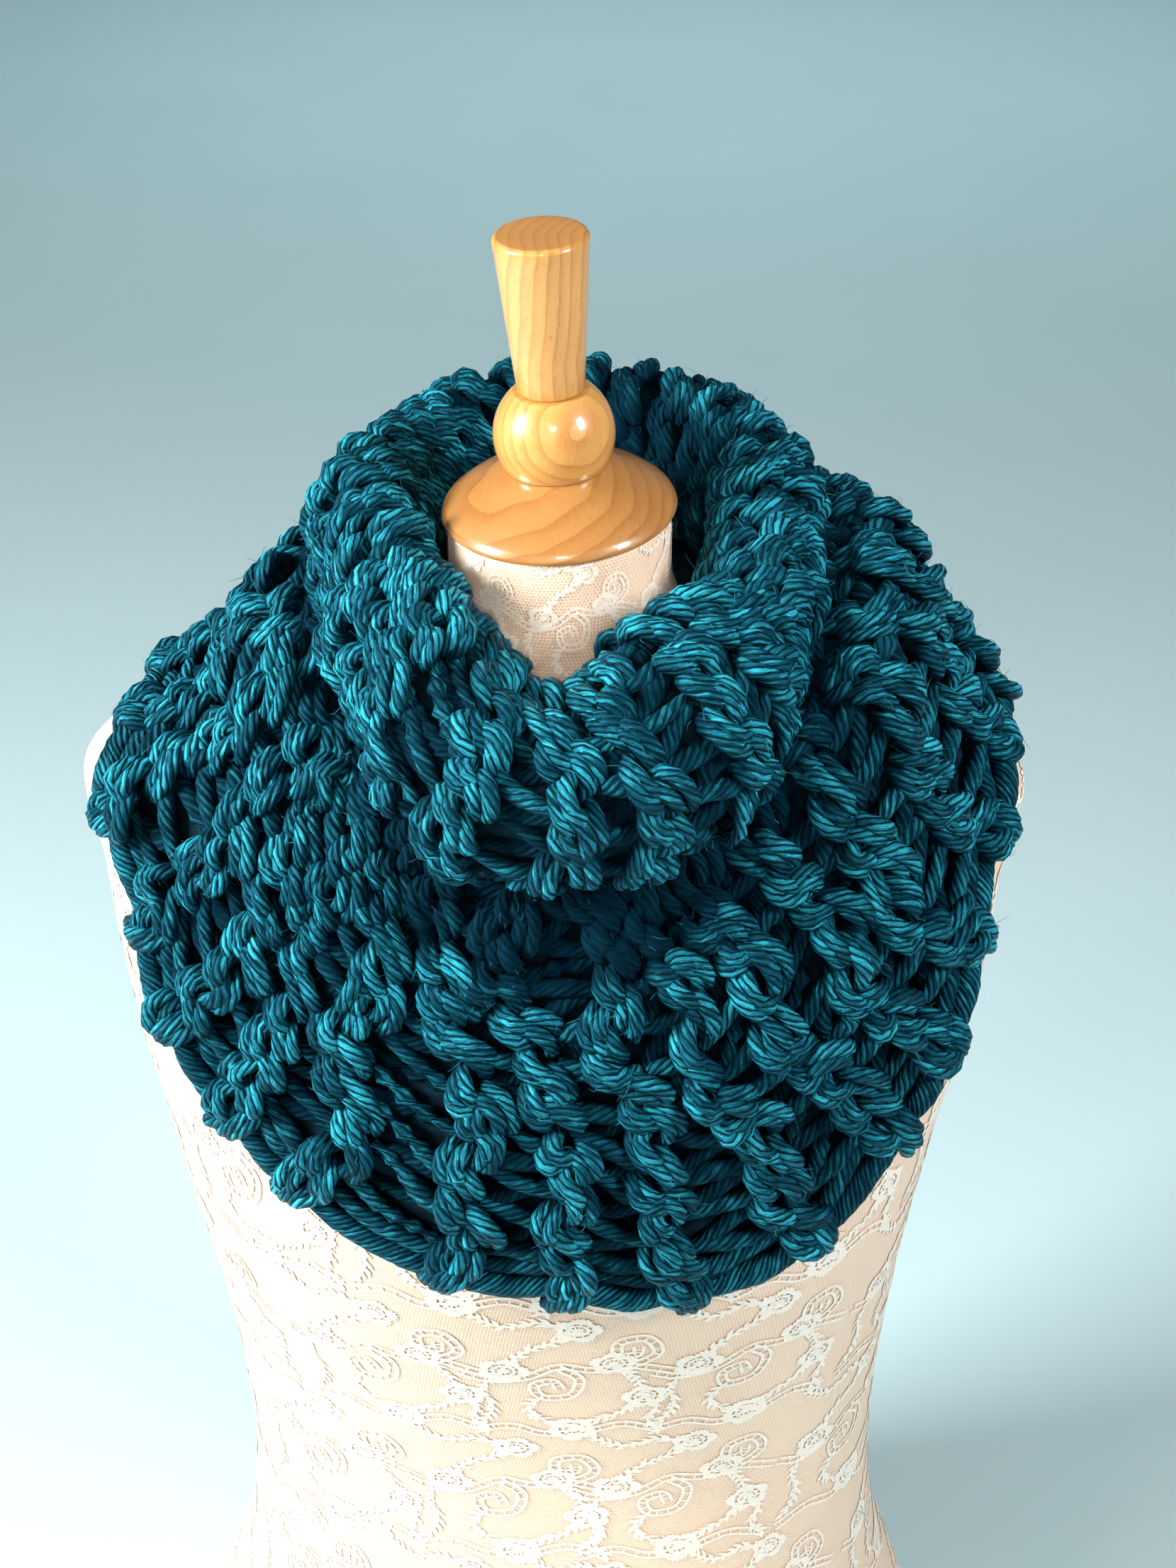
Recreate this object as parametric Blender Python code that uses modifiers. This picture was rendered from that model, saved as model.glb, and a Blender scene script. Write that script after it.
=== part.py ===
"""Chunky ribbed infinity scarf worn round the neck and shoulders of a limbless dress form.

Metres, +Z up. The form stands on its flat underside, with its neck on the Z axis, and faces -Y.
An azimuth is in degrees round the Z axis: 0 at the front, 90 at +X, 180 at the back.
A place is a share of the way along the cloth from the neck edge (0) to the hem (1).
"""

import math

import bmesh
import bpy
import numpy as np

# ---- Driving sizes ----
MM = 0.001
NECK_TOP = 0.720  # height of the form's neck, under the wooden cap
NECK_SLANT_FROM = 0.680  # above this height the neck slants with the cap
LEAN_LEFT = math.radians(3.0)  # the cap and what it carries lean to -X
LEAN_FORWARD = math.radians(2.0)  # and to the front
CAP_RADIUS = 46.0 * MM
CAP_TOP_RADIUS = 20.0 * MM
CAP_RIM = 2.6 * MM
CAP_HEIGHT = 19.6 * MM
RIM_CHAMFER = 0.8 * MM
BALL_RADIUS = 23.5 * MM
BALL_CENTRE = 32.3 * MM  # above the cap's foot
BALL_TOP_RADIUS = 14.5 * MM  # of the flat that carries the handle
BALL_STEPS = 11
HANDLE_FOOT_RADIUS = 13.1 * MM
HANDLE_TOP_RADIUS = 18.0 * MM
HANDLE_LENGTH = 61.2 * MM
HANDLE_EDGE = 2.2 * MM
HANDLE_CHAMFER = (0.8 * MM, 1.5 * MM)
SEAT_GAP = 0.3 * MM  # between touching pieces
SEAM_GAP = 0.36 * MM  # between the scarf's stretches, along the cloth
CLOTH_GAP = 0.95 * MM  # between the scarf and the form that carries it
NECK_GAP = 1.8 * MM  # the same above the tuck, where the form's neck curves in

WALL = 6.0 * MM
RIB_PLACES = (0.0, 0.45, 0.55, 0.70, 0.85, 1.0)  # where the ribs' paths are given
FRONT_RIBS = (
    # azimuths of each rib from the hem up to below the tuck, at the last four places
    (-84, -82, -80, -79),
    (-75, -72, -69, -67),
    (-66, -61.5, -58, -56),
    (-58, -52.5, -49.5, -49.5),
    (-48, -44.5, -42, -42.5),
    (-38.5, -32, -33, -31),
    (-15.5, -9, -16, -22),
    (4, 5, -2, -10),
    (24, 18.5, 16.5, 12),
    (43, 34.5, 27, 21),
    (54, 46, 38, 32),
    (61, 54, 49.5, 44.5),
    (69, 61, 56, 55),
    (77.5, 71, 67, 66),
    (87, 83, 79.5, 78),
    (97, 94, 91.5, 90),
)
BACK_RIBS = 12  # evenly along the hem from the last of the front ones round to the first
RIBS = len(FRONT_RIBS) + BACK_RIBS
RIB_HEIGHT = 6.5 * MM
RIB_POWER = 1.6  # above 1 the ribs are narrower than the valleys
RIB_UNEVEN = 0.18  # share by which the ribs differ in height
RIB_SEED = 5
RIB_SLANT = 8.0  # degrees that a rib turns from the neck edge to the hem
LOW_RIB = 0.25  # share of the ribs' height left at the neck edge and in the tuck
RIB_FADE = 0.07  # places over which they sink to it
HEM_NUB = 4.0 * MM  # how far a rib's end stands out past the hem
SIDES = ("front", "left", "back", "right")  # the scarf's quarters, in the wearer's terms
FIRST_SIDE_RIB = 4  # the front quarter starts in the valley before this rib

# ---- Fineness ----
STEPS_PER_RIB = 4
ROLL_STEPS = 13
DRAPE_STEPS = 12
AZIMUTHS = np.arange(240) * 1.5
PLACES = np.linspace(0, 1, 161)
SECTION_SAMPLES = 600
FORM_COLUMNS = 48
FORM_HEIGHTS = ((0.006, 0.560, 14), (0.580, NECK_TOP, 14))  # from, to and how many rings
FOOT_ROUND = 6.0 * MM
TURN_STEPS = 32

# ---- The form's level sections: half width, depth to the front and back, squareness, and how far
# the section is shifted to +X ----
FORM_SECTIONS = (
    # height, half width, front, back, squareness, shift
    (0.000, 0.196, 0.120, 0.124, 2.3, -0.002),
    (0.050, 0.189, 0.118, 0.121, 2.3, -0.002),
    (0.090, 0.178, 0.114, 0.116, 2.3, -0.002),
    (0.130, 0.165, 0.109, 0.108, 2.3, -0.002),
    (0.200, 0.155, 0.104, 0.097, 2.3, -0.002),
    (0.270, 0.155, 0.105, 0.092, 2.3, -0.0025),
    (0.340, 0.160, 0.117, 0.096, 2.3, -0.003),
    (0.400, 0.167, 0.130, 0.101, 2.3, -0.004),
    (0.440, 0.173, 0.136, 0.105, 2.2, -0.004),
    (0.480, 0.180, 0.134, 0.107, 2.2, -0.004),
    (0.530, 0.187, 0.120, 0.106, 2.2, -0.004),
    (0.565, 0.190, 0.106, 0.100, 2.1, -0.0045),
    (0.590, 0.195, 0.095, 0.093, 2.0, -0.005),
    (0.605, 0.194, 0.088, 0.088, 2.0, -0.004),
    (0.618, 0.180, 0.081, 0.083, 2.0, -0.0025),
    (0.630, 0.151, 0.074, 0.078, 2.1, -0.001),
    (0.645, 0.100, 0.063, 0.071, 2.1, 0.0),
    (0.655, 0.074, 0.057, 0.065, 2.1, 0.0),
    (0.667, 0.055, 0.051, 0.057, 2.0, 0.0),
    (0.685, 0.046, 0.0455, 0.047, 2.0, 0.0),
    (0.720, 0.0435, 0.0435, 0.0435, 2.0, 0.0),
)

# ---- The cap's flare in millimetres, from its flat top to its rim ----
CAP_FLARE = (
    # radius, height
    (22.5, 18.4),
    (29.0, 14.6),
    (36.0, 10.6),
    (41.5, 6.6),
    (44.8, 3.6),
)

# ---- The scarf's upright sections in millimetres: radius and height of its outer face at each point,
# from the neck edge over the roll, in at the tuck and over the shoulder ridge to the hem ----
SCARF_POINTS = ("edge", "crest", "roll", "under", "tuck", "ridge", "drape", "hem")
SCARF_SECTIONS = (
    # azimuth, edge, crest, roll, under, tuck, ridge, drape, hem
    (0, 54, 660, 86, 681, 127, 663, 124, 634, 99, 619, 109, 582, 127, 526, 144, 442),
    (25, 54, 668, 71, 697, 126, 670, 122, 639, 98, 625, 114, 592, 138, 534, 150, 437),
    (45, 55, 678, 70, 705, 112, 688, 112, 660, 97, 647, 122, 624, 151, 557, 166, 461),
    (62, 56, 676, 78, 704, 98, 700, 102, 684, 105, 668, 126, 669, 162, 607, 184, 538),
    (76, 57, 680, 76, 711, 92, 709, 98, 696, 104, 686, 123, 691, 156, 647, 178, 598),
    (90, 60, 682, 77, 717, 91, 715, 97, 704, 105, 697, 121, 704, 154, 665, 180, 628),
    (120, 68, 682, 86, 728, 98, 725, 104, 714, 110, 708, 120, 703, 149, 643, 168, 574),
    (150, 74, 676, 96, 732, 112, 724, 119, 708, 124, 694, 128, 672, 137, 602, 142, 515),
    (180, 77, 674, 99, 731, 115, 720, 121, 702, 125, 686, 126, 660, 124, 590, 121, 500),
    (210, 72, 676, 93, 730, 108, 719, 116, 703, 120, 687, 123, 661, 134, 600, 142, 515),
    (240, 63, 682, 81, 727, 92, 719, 100, 704, 105, 690, 114, 677, 138, 630, 160, 575),
    (270, 56, 686, 72, 726, 85, 719, 92, 704, 97, 690, 112, 685, 137, 651, 170, 629),
    (284, 54, 688, 69, 723, 83, 714, 89, 699, 95, 682, 112, 678, 141, 638, 170, 601),
    (298, 54, 686, 68, 715, 84, 704, 89, 687, 94, 668, 114, 659, 150, 609, 181, 547),
    (315, 54, 684, 65, 711, 93, 692, 96, 664, 86, 649, 112, 626, 144, 565, 166, 491),
    (335, 54, 672, 67, 701, 116, 670, 112, 639, 90, 626, 110, 594, 134, 536, 152, 456),
)
TUCK_POINT = SCARF_POINTS.index("tuck")
TUCK_PLACE = 0.5

# ---- Colours ----
TEAL = (0.012, 0.115, 0.145)
NET_CREAM = (0.80, 0.72, 0.62)
HONEY_WOOD = (0.72, 0.46, 0.20)


def clear_scene():
    for existing in list(bpy.data.objects):
        bpy.data.objects.remove(existing, do_unlink=True)


def new_collection(name):
    made = bpy.data.collections.new(name)
    bpy.context.scene.collection.children.link(made)
    return made


def principled(name, colour, roughness, metallic=0.0):
    made = bpy.data.materials.new(name)
    made.use_nodes = True
    shader = made.node_tree.nodes["Principled BSDF"]
    shader.inputs["Base Color"].default_value = (*colour, 1.0)
    shader.inputs["Roughness"].default_value = roughness
    shader.inputs["Metallic"].default_value = metallic
    return made


def add_object(name, mesh, material, collection):
    """The named object of one sub-part, shaded smooth, in its collection."""
    mesh.materials.append(material)
    made = bpy.data.objects.new(name, mesh)
    collection.objects.link(made)
    mesh.shade_smooth()
    return made


# ---- Curves through the tables ----
def hermite(places, values, at, period=None):
    """Smooth curve through values at places, read at the given places; it wraps round a period."""
    places = np.asarray(places, float)
    values = np.asarray(values, float)
    if period:
        places = np.concatenate([places[-2:] - period, places, places[:2] + period])
        values = np.concatenate([values[-2:], values, values[:2]])
        at = np.mod(at, period)
    span = np.diff(places)[:, None]
    rise = np.diff(values, axis=0) / span
    slope = np.empty_like(values)
    slope[1:-1] = (rise[:-1] * span[1:] + rise[1:] * span[:-1]) / (span[:-1] + span[1:])
    slope[0], slope[-1] = rise[0], rise[-1]
    at = np.clip(at, places[0], places[-1])
    left = np.clip(np.searchsorted(places, at, side="right") - 1, 0, len(places) - 2)
    width = (places[left + 1] - places[left])[:, None]
    part = (at - places[left])[:, None] / width
    start = (1 + 2 * part) * values[left] + part * width * slope[left]
    end = (3 - 2 * part) * values[left + 1] - (1 - part) * width * slope[left + 1]
    return (1 - part) ** 2 * start + part**2 * end


def run_length(points):
    """Distance along a line of points, from its first point to each."""
    steps = np.linalg.norm(np.diff(points, axis=0), axis=1)
    return np.concatenate([[0.0], np.cumsum(steps)])


def in_space(azimuths, section):
    """Space points of section points (radius, height) at their azimuths."""
    turn = np.radians(azimuths)
    radius, height = section[..., 0], section[..., 1]
    return np.stack([radius * np.sin(turn), -radius * np.cos(turn), height], axis=-1)


def form_radius(azimuth, height):
    """Distance from the axis to the form's face, at azimuths and heights given as equal arrays."""
    table = np.array(FORM_SECTIONS)
    section = hermite(table[:, 0], table[:, 1:], np.ravel(height))
    half_width, front, back, square, shift = section.T
    turn = np.radians(np.ravel(azimuth))
    depth = np.where(np.cos(turn) >= 0, front, back)
    across = (np.abs(np.sin(turn)) / half_width) ** square
    along = (np.abs(np.cos(turn)) / depth) ** square
    radius = (across + along) ** (-1 / square) + shift * np.sin(turn)
    return radius.reshape(np.shape(height))


def lift_clear(azimuth, points, gap):
    """Moves upright-section points (radius, height) out along the form's face until they clear it."""
    step = 1.0 * MM
    for _ in range(4):
        radius, height = points[..., 0], points[..., 1]
        above, below = form_radius(azimuth, height + step), form_radius(azimuth, height - step)
        slope = (above - below) / (2 * step)
        length = np.sqrt(1 + slope**2)
        lacking = np.maximum(gap - (radius - form_radius(azimuth, height)) / length, 0)
        lacking = np.where(height > NECK_TOP, 0, lacking)
        points = points + np.stack([lacking / length, -slope * lacking / length], axis=-1)
    return points


# ---- The scarf's cloth ----
def section_curve(points):
    """A section's face and its outward directions, evenly spaced on each side of the tuck."""
    chord = run_length(points)
    dense = np.linspace(0, chord[-1], SECTION_SAMPLES)
    fine = hermite(chord, points, dense)
    run = run_length(fine)
    tuck = np.interp(chord[TUCK_POINT], dense, run)
    spots = np.interp(PLACES, (0, TUCK_PLACE, 1), (0, tuck, run[-1]))
    face = np.stack([np.interp(spots, run, fine[:, axis]) for axis in range(2)], axis=1)
    along = np.gradient(face, spots, axis=0)
    along /= np.linalg.norm(along, axis=1, keepdims=True)
    return face, np.stack([-along[:, 1], along[:, 0]], axis=1)


def scarf_surface():
    """The scarf's outer face, inner face and outward directions, by azimuth and place."""
    table = np.array(SCARF_SECTIONS, float)
    rows = hermite(table[:, 0], table[:, 1:] * MM, AZIMUTHS, period=360)
    knots = rows.reshape(len(AZIMUTHS), len(SCARF_POINTS), 2)
    made = [section_curve(points) for points in knots]
    face = np.array([pair[0] for pair in made])
    out = np.array([pair[1] for pair in made])
    inner = face - WALL * out
    gap = np.where(PLACES < TUCK_PLACE, NECK_GAP, CLOTH_GAP)
    cleared = lift_clear(np.repeat(AZIMUTHS[:, None], len(PLACES), axis=1), inner, gap)
    return face + cleared - inner, cleared, out


def read_surface(grid, azimuths, places):
    """Values of a surface grid at azimuths and places given as equal arrays."""
    column = np.mod(azimuths, 360) / 360 * len(AZIMUTHS)
    row = np.clip(places, 0, 1) * (len(PLACES) - 1)
    left = np.floor(column).astype(int)
    low = np.minimum(np.floor(row).astype(int), len(PLACES) - 2)
    over, up = (column - left)[..., None], (row - low)[..., None]
    left, right = left % len(AZIMUTHS), (left + 1) % len(AZIMUTHS)
    near = grid[left, low] * (1 - up) + grid[left, low + 1] * up
    far = grid[right, low] * (1 - up) + grid[right, low + 1] * up
    return near * (1 - over) + far * over


def rib_paths():
    """Azimuths of the ribs at RIB_PLACES: once round from the first of the front ones, and that one again."""
    front = np.array(FRONT_RIBS, float)
    first = front[:1] + 360
    turn = np.linspace(front[-1, 0], first[0, 0], 361)
    table = np.array(SCARF_SECTIONS, float)
    hem = hermite(table[:, 0], table[:, -2:] * MM, turn, period=360)
    run = run_length(in_space(turn, hem))
    back = np.linspace(front[-1], first[0], BACK_RIBS + 2)[1:-1]
    back[:, 0] = np.interp(np.linspace(0, run[-1], BACK_RIBS + 2), run, turn)[1:-1]
    below = np.concatenate([front, back, first])
    neck = front[0, 0] + np.arange(RIBS + 1) * 360 / RIBS - RIB_SLANT
    above = below[:, 0] * RIB_PLACES[1] + neck * (1 - RIB_PLACES[1])
    return np.column_stack([neck, above, below[:, ::-1]])


def column_azimuths(places):
    """Azimuths of the cloth's columns at places: along the ribs' paths below the tuck, even at the neck."""
    ribs = np.arange(RIBS * STEPS_PER_RIB) / STEPS_PER_RIB
    spread = np.array([np.interp(ribs, np.arange(RIBS + 1), path) for path in rib_paths().T])
    return hermite(RIB_PLACES, spread, places[0]).T


def rib_heights(places):
    """Height of the ribs over the cloth, by column and place, and each column's share of a full rib."""
    columns = np.arange(RIBS * STEPS_PER_RIB)
    wave = (0.5 + 0.5 * np.cos(2 * math.pi * columns / STEPS_PER_RIB)) ** RIB_POWER
    uneven = 1 + RIB_UNEVEN * np.random.default_rng(RIB_SEED).uniform(-1, 1, RIBS)
    ridge = (wave * np.repeat(uneven, STEPS_PER_RIB))[:, None]
    fade = np.clip(np.minimum(places, np.abs(places - TUCK_PLACE)) / RIB_FADE, 0, 1)
    return RIB_HEIGHT * ridge * (LOW_RIB + (1 - LOW_RIB) * fade), ridge


def stretch_grids(surface, first, last, steps):
    """Outer and inner points of the stretch of cloth between two places, by column and step."""
    face, inner, out = surface
    places = np.repeat(np.linspace(first, last, steps)[None], RIBS * STEPS_PER_RIB, axis=0)
    azimuths = column_azimuths(places)
    lift, ridge = rib_heights(places)
    direction = read_surface(out, azimuths, places)
    outer_section = read_surface(face, azimuths, places) + lift[..., None] * direction
    inner_section = read_surface(inner, azimuths, places)
    if last == 1:
        down_the_cloth = np.stack([direction[:, -1, 1], -direction[:, -1, 0]], axis=1)
        outer_section[:, -1] += HEM_NUB * ridge * down_the_cloth
        inner_section[:, -1] += HEM_NUB * ridge * down_the_cloth
    grids = in_space(azimuths, outer_section), in_space(azimuths, inner_section)
    if first > 0:
        for grid in grids:
            way = grid[:, 1] - grid[:, 0]
            grid[:, 0] += SEAM_GAP * way / np.linalg.norm(way, axis=1, keepdims=True)
    return grids


def quarter_columns(side):
    """Columns of one of the scarf's quarters, from the valley that it starts in to the one that it ends in."""
    ribs = RIBS // len(SIDES)
    start = round((FIRST_SIDE_RIB + side * ribs - 0.5) * STEPS_PER_RIB)
    return np.arange(start, start + ribs * STEPS_PER_RIB + 1) % (RIBS * STEPS_PER_RIB)


def pulled_back(grid):
    """The grid with its last column drawn towards the one before it, by the seam's gap."""
    way = grid[-2] - grid[-1]
    moved = grid.copy()
    moved[-1] += SEAM_GAP * way / np.linalg.norm(way, axis=1, keepdims=True)
    return moved


def add_band(made, one, other):
    """Quads between two closed rings of vertices with equal counts."""
    count = len(one)
    for column in range(count):
        beside = (column + 1) % count
        made.faces.new((one[column], other[column], other[beside], one[beside]))


def cloth_wall(name, outer, inner):
    """Closed stretch of cloth: each column's section runs down its outer points and up its inner ones."""
    made = bmesh.new()
    sections = np.concatenate([outer, inner[:, ::-1]], axis=1)
    loops = [[made.verts.new(point) for point in section] for section in sections]
    for one, other in zip(loops, loops[1:]):
        add_band(made, one, other)
    for loop in (loops[0], loops[-1]):
        for step in range(len(loop) // 2 - 1):
            made.faces.new((loop[step], loop[step + 1], loop[-2 - step], loop[-1 - step]))
    bmesh.ops.recalc_face_normals(made, faces=made.faces)
    bmesh.ops.triangulate(made, faces=made.faces)
    mesh = bpy.data.meshes.new(name)
    made.to_mesh(mesh)
    made.free()
    return mesh


def build_scarf(collection, material):
    surface = scarf_surface()
    for name, first, last, steps in (
        ("scarf_neck_roll", 0, TUCK_PLACE, ROLL_STEPS),
        ("scarf_shoulder_drape", TUCK_PLACE, 1, DRAPE_STEPS),
    ):
        grids = stretch_grids(surface, first, last, steps)
        for index, side in enumerate(SIDES):
            outer, inner = (pulled_back(grid[quarter_columns(index)]) for grid in grids)
            node = f"{name}_{side}"
            add_object(node, cloth_wall(node, outer, inner), material, collection)


# ---- The dress form ----
def slanted(points):
    """Slants the neck's top with the cap that it carries."""
    share = np.clip((points[:, 2] - NECK_SLANT_FROM) / (NECK_TOP - NECK_SLANT_FROM), 0, 1)
    rise = points[:, 0] * math.tan(LEAN_LEFT) + points[:, 1] * math.tan(LEAN_FORWARD)
    return points + np.outer(share * rise, (0, 0, 1))


def form_ring(height, inset=0.0):
    azimuths = np.arange(FORM_COLUMNS) * 360 / FORM_COLUMNS
    heights = np.full(FORM_COLUMNS, height)
    radius = form_radius(azimuths, heights) - inset
    return slanted(in_space(azimuths, np.stack([radius, heights], axis=1)))


def build_form(collection, material):
    heights = np.concatenate([np.linspace(*stretch) for stretch in FORM_HEIGHTS])
    rings = [form_ring(0.0, FOOT_ROUND), *(form_ring(height) for height in heights)]
    made = bmesh.new()
    loops = [[made.verts.new(point) for point in ring] for ring in rings]
    for lower, upper in zip(loops, loops[1:]):
        add_band(made, upper, lower)
    made.faces.new(list(reversed(loops[0])))
    made.faces.new(loops[-1])
    bmesh.ops.triangulate(made, faces=made.faces)
    mesh = bpy.data.meshes.new("dress_form")
    made.to_mesh(mesh)
    made.free()
    add_object("dress_form", mesh, material, collection)


# ---- The turned wood ----
def arc(centre, radius, start, end, count):
    """Points of an arc in a turned profile; angles in degrees from +X, up towards +Z."""
    angles = np.radians(np.linspace(start, end, count))
    return [(centre[0] + radius * math.cos(a), centre[1] + radius * math.sin(a)) for a in angles]


def turned(name, profile, collection, material):
    """A turned piece from its profile, top to bottom, stood on the leaning axis of the cap."""
    mesh = bpy.data.meshes.new(name)
    points = [(radius, 0, height) for radius, height in profile]
    mesh.from_pydata(points, [(index, index + 1) for index in range(len(points) - 1)], [])
    made = add_object(name, mesh, material, collection)
    screw = made.modifiers.new("Turn", "SCREW")
    screw.axis = "Z"
    screw.steps = screw.render_steps = TURN_STEPS
    screw.use_merge_vertices = True
    screw.merge_threshold = 0.00005
    screw.use_smooth_shade = True
    made.rotation_euler = (LEAN_FORWARD, -LEAN_LEFT, 0)
    made.location = (0, 0, NECK_TOP + SEAT_GAP)
    return made


def build_cap(collection, material):
    top = [(0.0, CAP_HEIGHT), (CAP_TOP_RADIUS, CAP_HEIGHT)]
    flare = [(radius * MM, height * MM) for radius, height in CAP_FLARE]
    rim = [(CAP_RADIUS, CAP_RIM / 2), (CAP_RADIUS - RIM_CHAMFER, 0.0), (0.0, 0.0)]
    turned("neck_cap", [*top, *flare, *rim], collection, material)


def build_ball(collection, material):
    """The ball between its seat on the cap and the flat that carries the handle; gives the flat's height."""
    seat = CAP_HEIGHT + SEAT_GAP
    low_angle = -math.degrees(math.asin((BALL_CENTRE - seat) / BALL_RADIUS))
    top_angle = math.degrees(math.acos(BALL_TOP_RADIUS / BALL_RADIUS))
    sphere = arc((0, BALL_CENTRE), BALL_RADIUS, top_angle, low_angle, BALL_STEPS)
    top = sphere[0][1]
    turned("ball_finial", [(0.0, top), *sphere, (0.0, sphere[-1][1])], collection, material)
    return top


def build_handle(ball_top, collection, material):
    low = ball_top + SEAT_GAP
    top = low + HANDLE_LENGTH
    edge = arc((HANDLE_TOP_RADIUS - HANDLE_EDGE, top - HANDLE_EDGE), HANDLE_EDGE, 90, 0, 4)
    inward, upward = HANDLE_CHAMFER
    foot = [(HANDLE_FOOT_RADIUS, low + upward), (HANDLE_FOOT_RADIUS - inward, low), (0.0, low)]
    turned("handle", [(0.0, top), *edge, *foot], collection, material)


def main():
    clear_scene()
    bpy.context.scene.unit_settings.system = "METRIC"
    parts = new_collection("Infinity scarf on a dress form")
    wool = principled("teal_wool", TEAL, 0.85)
    net = principled("cream_net", NET_CREAM, 0.8)
    wood = principled("lacquered_wood", HONEY_WOOD, 0.25)
    build_form(parts, net)
    build_cap(parts, wood)
    ball_top = build_ball(parts, wood)
    build_handle(ball_top, parts, wood)
    build_scarf(parts, wool)


main()
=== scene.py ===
"""Looks of a chunky crocheted infinity scarf worn on a lace-covered dress form.

Metres, +Z up. The form faces -Y with its neck on the Z axis. An azimuth is in degrees round that axis:
0 at the front, 90 at +X, 180 at the back. A place is a share of the way along the cloth, from the neck
edge (0) to the hem (1). An up is a distance in metres along the cloth, from the hem towards the neck.
"""

import logging
import math
from dataclasses import dataclass, field
from enum import Enum

import bpy
import numpy as np
from mathutils import Euler, Matrix, Vector


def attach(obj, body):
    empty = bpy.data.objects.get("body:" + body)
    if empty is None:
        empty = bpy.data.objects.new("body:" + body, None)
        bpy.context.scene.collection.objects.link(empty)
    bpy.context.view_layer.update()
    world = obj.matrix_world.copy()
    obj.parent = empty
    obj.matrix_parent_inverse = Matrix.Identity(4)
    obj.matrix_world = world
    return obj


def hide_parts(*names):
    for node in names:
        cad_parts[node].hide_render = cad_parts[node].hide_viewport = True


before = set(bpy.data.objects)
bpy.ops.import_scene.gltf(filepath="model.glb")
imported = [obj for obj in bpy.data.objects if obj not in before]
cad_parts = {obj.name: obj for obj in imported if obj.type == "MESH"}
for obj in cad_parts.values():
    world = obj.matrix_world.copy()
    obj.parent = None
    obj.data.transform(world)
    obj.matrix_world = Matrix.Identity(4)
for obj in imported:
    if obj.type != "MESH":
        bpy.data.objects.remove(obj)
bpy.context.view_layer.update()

MM = 0.001
BODY = "root"
SIDES = ("front", "left", "back", "right")
LOG = logging.getLogger("scarf")
Array = np.ndarray
Point = tuple[float, float, float]
Colour = tuple[float, float, float]
Span = tuple[float, float]
Socket = bpy.types.NodeSocket
Feed = Socket | float | tuple[float, ...] | None

# ---- The form's level sections, as in the part's source ----
FORM_SECTIONS = (
    # height, half width, front, back, squareness, shift
    (0.000, 0.196, 0.120, 0.124, 2.3, -0.002),
    (0.050, 0.189, 0.118, 0.121, 2.3, -0.002),
    (0.090, 0.178, 0.114, 0.116, 2.3, -0.002),
    (0.130, 0.165, 0.109, 0.108, 2.3, -0.002),
    (0.200, 0.155, 0.104, 0.097, 2.3, -0.002),
    (0.270, 0.155, 0.105, 0.092, 2.3, -0.0025),
    (0.340, 0.160, 0.117, 0.096, 2.3, -0.003),
    (0.400, 0.167, 0.130, 0.101, 2.3, -0.004),
    (0.440, 0.173, 0.136, 0.105, 2.2, -0.004),
    (0.480, 0.180, 0.134, 0.107, 2.2, -0.004),
    (0.530, 0.187, 0.120, 0.106, 2.2, -0.004),
    (0.565, 0.190, 0.106, 0.100, 2.1, -0.0045),
    (0.590, 0.195, 0.095, 0.093, 2.0, -0.005),
    (0.605, 0.194, 0.088, 0.088, 2.0, -0.004),
    (0.618, 0.180, 0.081, 0.083, 2.0, -0.0025),
    (0.630, 0.151, 0.074, 0.078, 2.1, -0.001),
    (0.645, 0.100, 0.063, 0.071, 2.1, 0.0),
    (0.655, 0.074, 0.057, 0.065, 2.1, 0.0),
    (0.667, 0.055, 0.051, 0.057, 2.0, 0.0),
    (0.685, 0.046, 0.0455, 0.047, 2.0, 0.0),
    (0.720, 0.0435, 0.0435, 0.0435, 2.0, 0.0),
)

# ---- The scarf's upright sections in millimetres, as in the part's source ----
SCARF_SECTIONS = (
    # azimuth, then radius and height of edge, crest, roll, under, tuck, ridge, drape, hem
    (0, 54, 660, 86, 681, 127, 663, 124, 634, 99, 619, 109, 582, 127, 526, 144, 442),
    (25, 54, 668, 71, 697, 126, 670, 122, 639, 98, 625, 114, 592, 138, 534, 150, 437),
    (45, 55, 678, 70, 705, 112, 688, 112, 660, 97, 647, 122, 624, 151, 557, 166, 461),
    (62, 56, 676, 78, 704, 98, 700, 102, 684, 105, 668, 126, 669, 162, 607, 184, 538),
    (76, 57, 680, 76, 711, 92, 709, 98, 696, 104, 686, 123, 691, 156, 647, 178, 598),
    (90, 60, 682, 77, 717, 91, 715, 97, 704, 105, 697, 121, 704, 154, 665, 180, 628),
    (120, 68, 682, 86, 728, 98, 725, 104, 714, 110, 708, 120, 703, 149, 643, 168, 574),
    (150, 74, 676, 96, 732, 112, 724, 119, 708, 124, 694, 128, 672, 137, 602, 142, 515),
    (180, 77, 674, 99, 731, 115, 720, 121, 702, 125, 686, 126, 660, 124, 590, 121, 500),
    (210, 72, 676, 93, 730, 108, 719, 116, 703, 120, 687, 123, 661, 134, 600, 142, 515),
    (240, 63, 682, 81, 727, 92, 719, 100, 704, 105, 690, 114, 677, 138, 630, 160, 575),
    (270, 56, 686, 72, 726, 85, 719, 92, 704, 97, 690, 112, 685, 137, 651, 170, 629),
    (284, 54, 688, 69, 723, 83, 714, 89, 699, 95, 682, 112, 678, 141, 638, 170, 601),
    (298, 54, 686, 68, 715, 84, 704, 89, 687, 94, 668, 114, 659, 150, 609, 181, 547),
    (315, 54, 684, 65, 711, 93, 692, 96, 664, 86, 649, 112, 626, 144, 565, 166, 491),
    (335, 54, 672, 67, 701, 116, 670, 112, 639, 90, 626, 110, 594, 134, 536, 152, 456),
)
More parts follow.
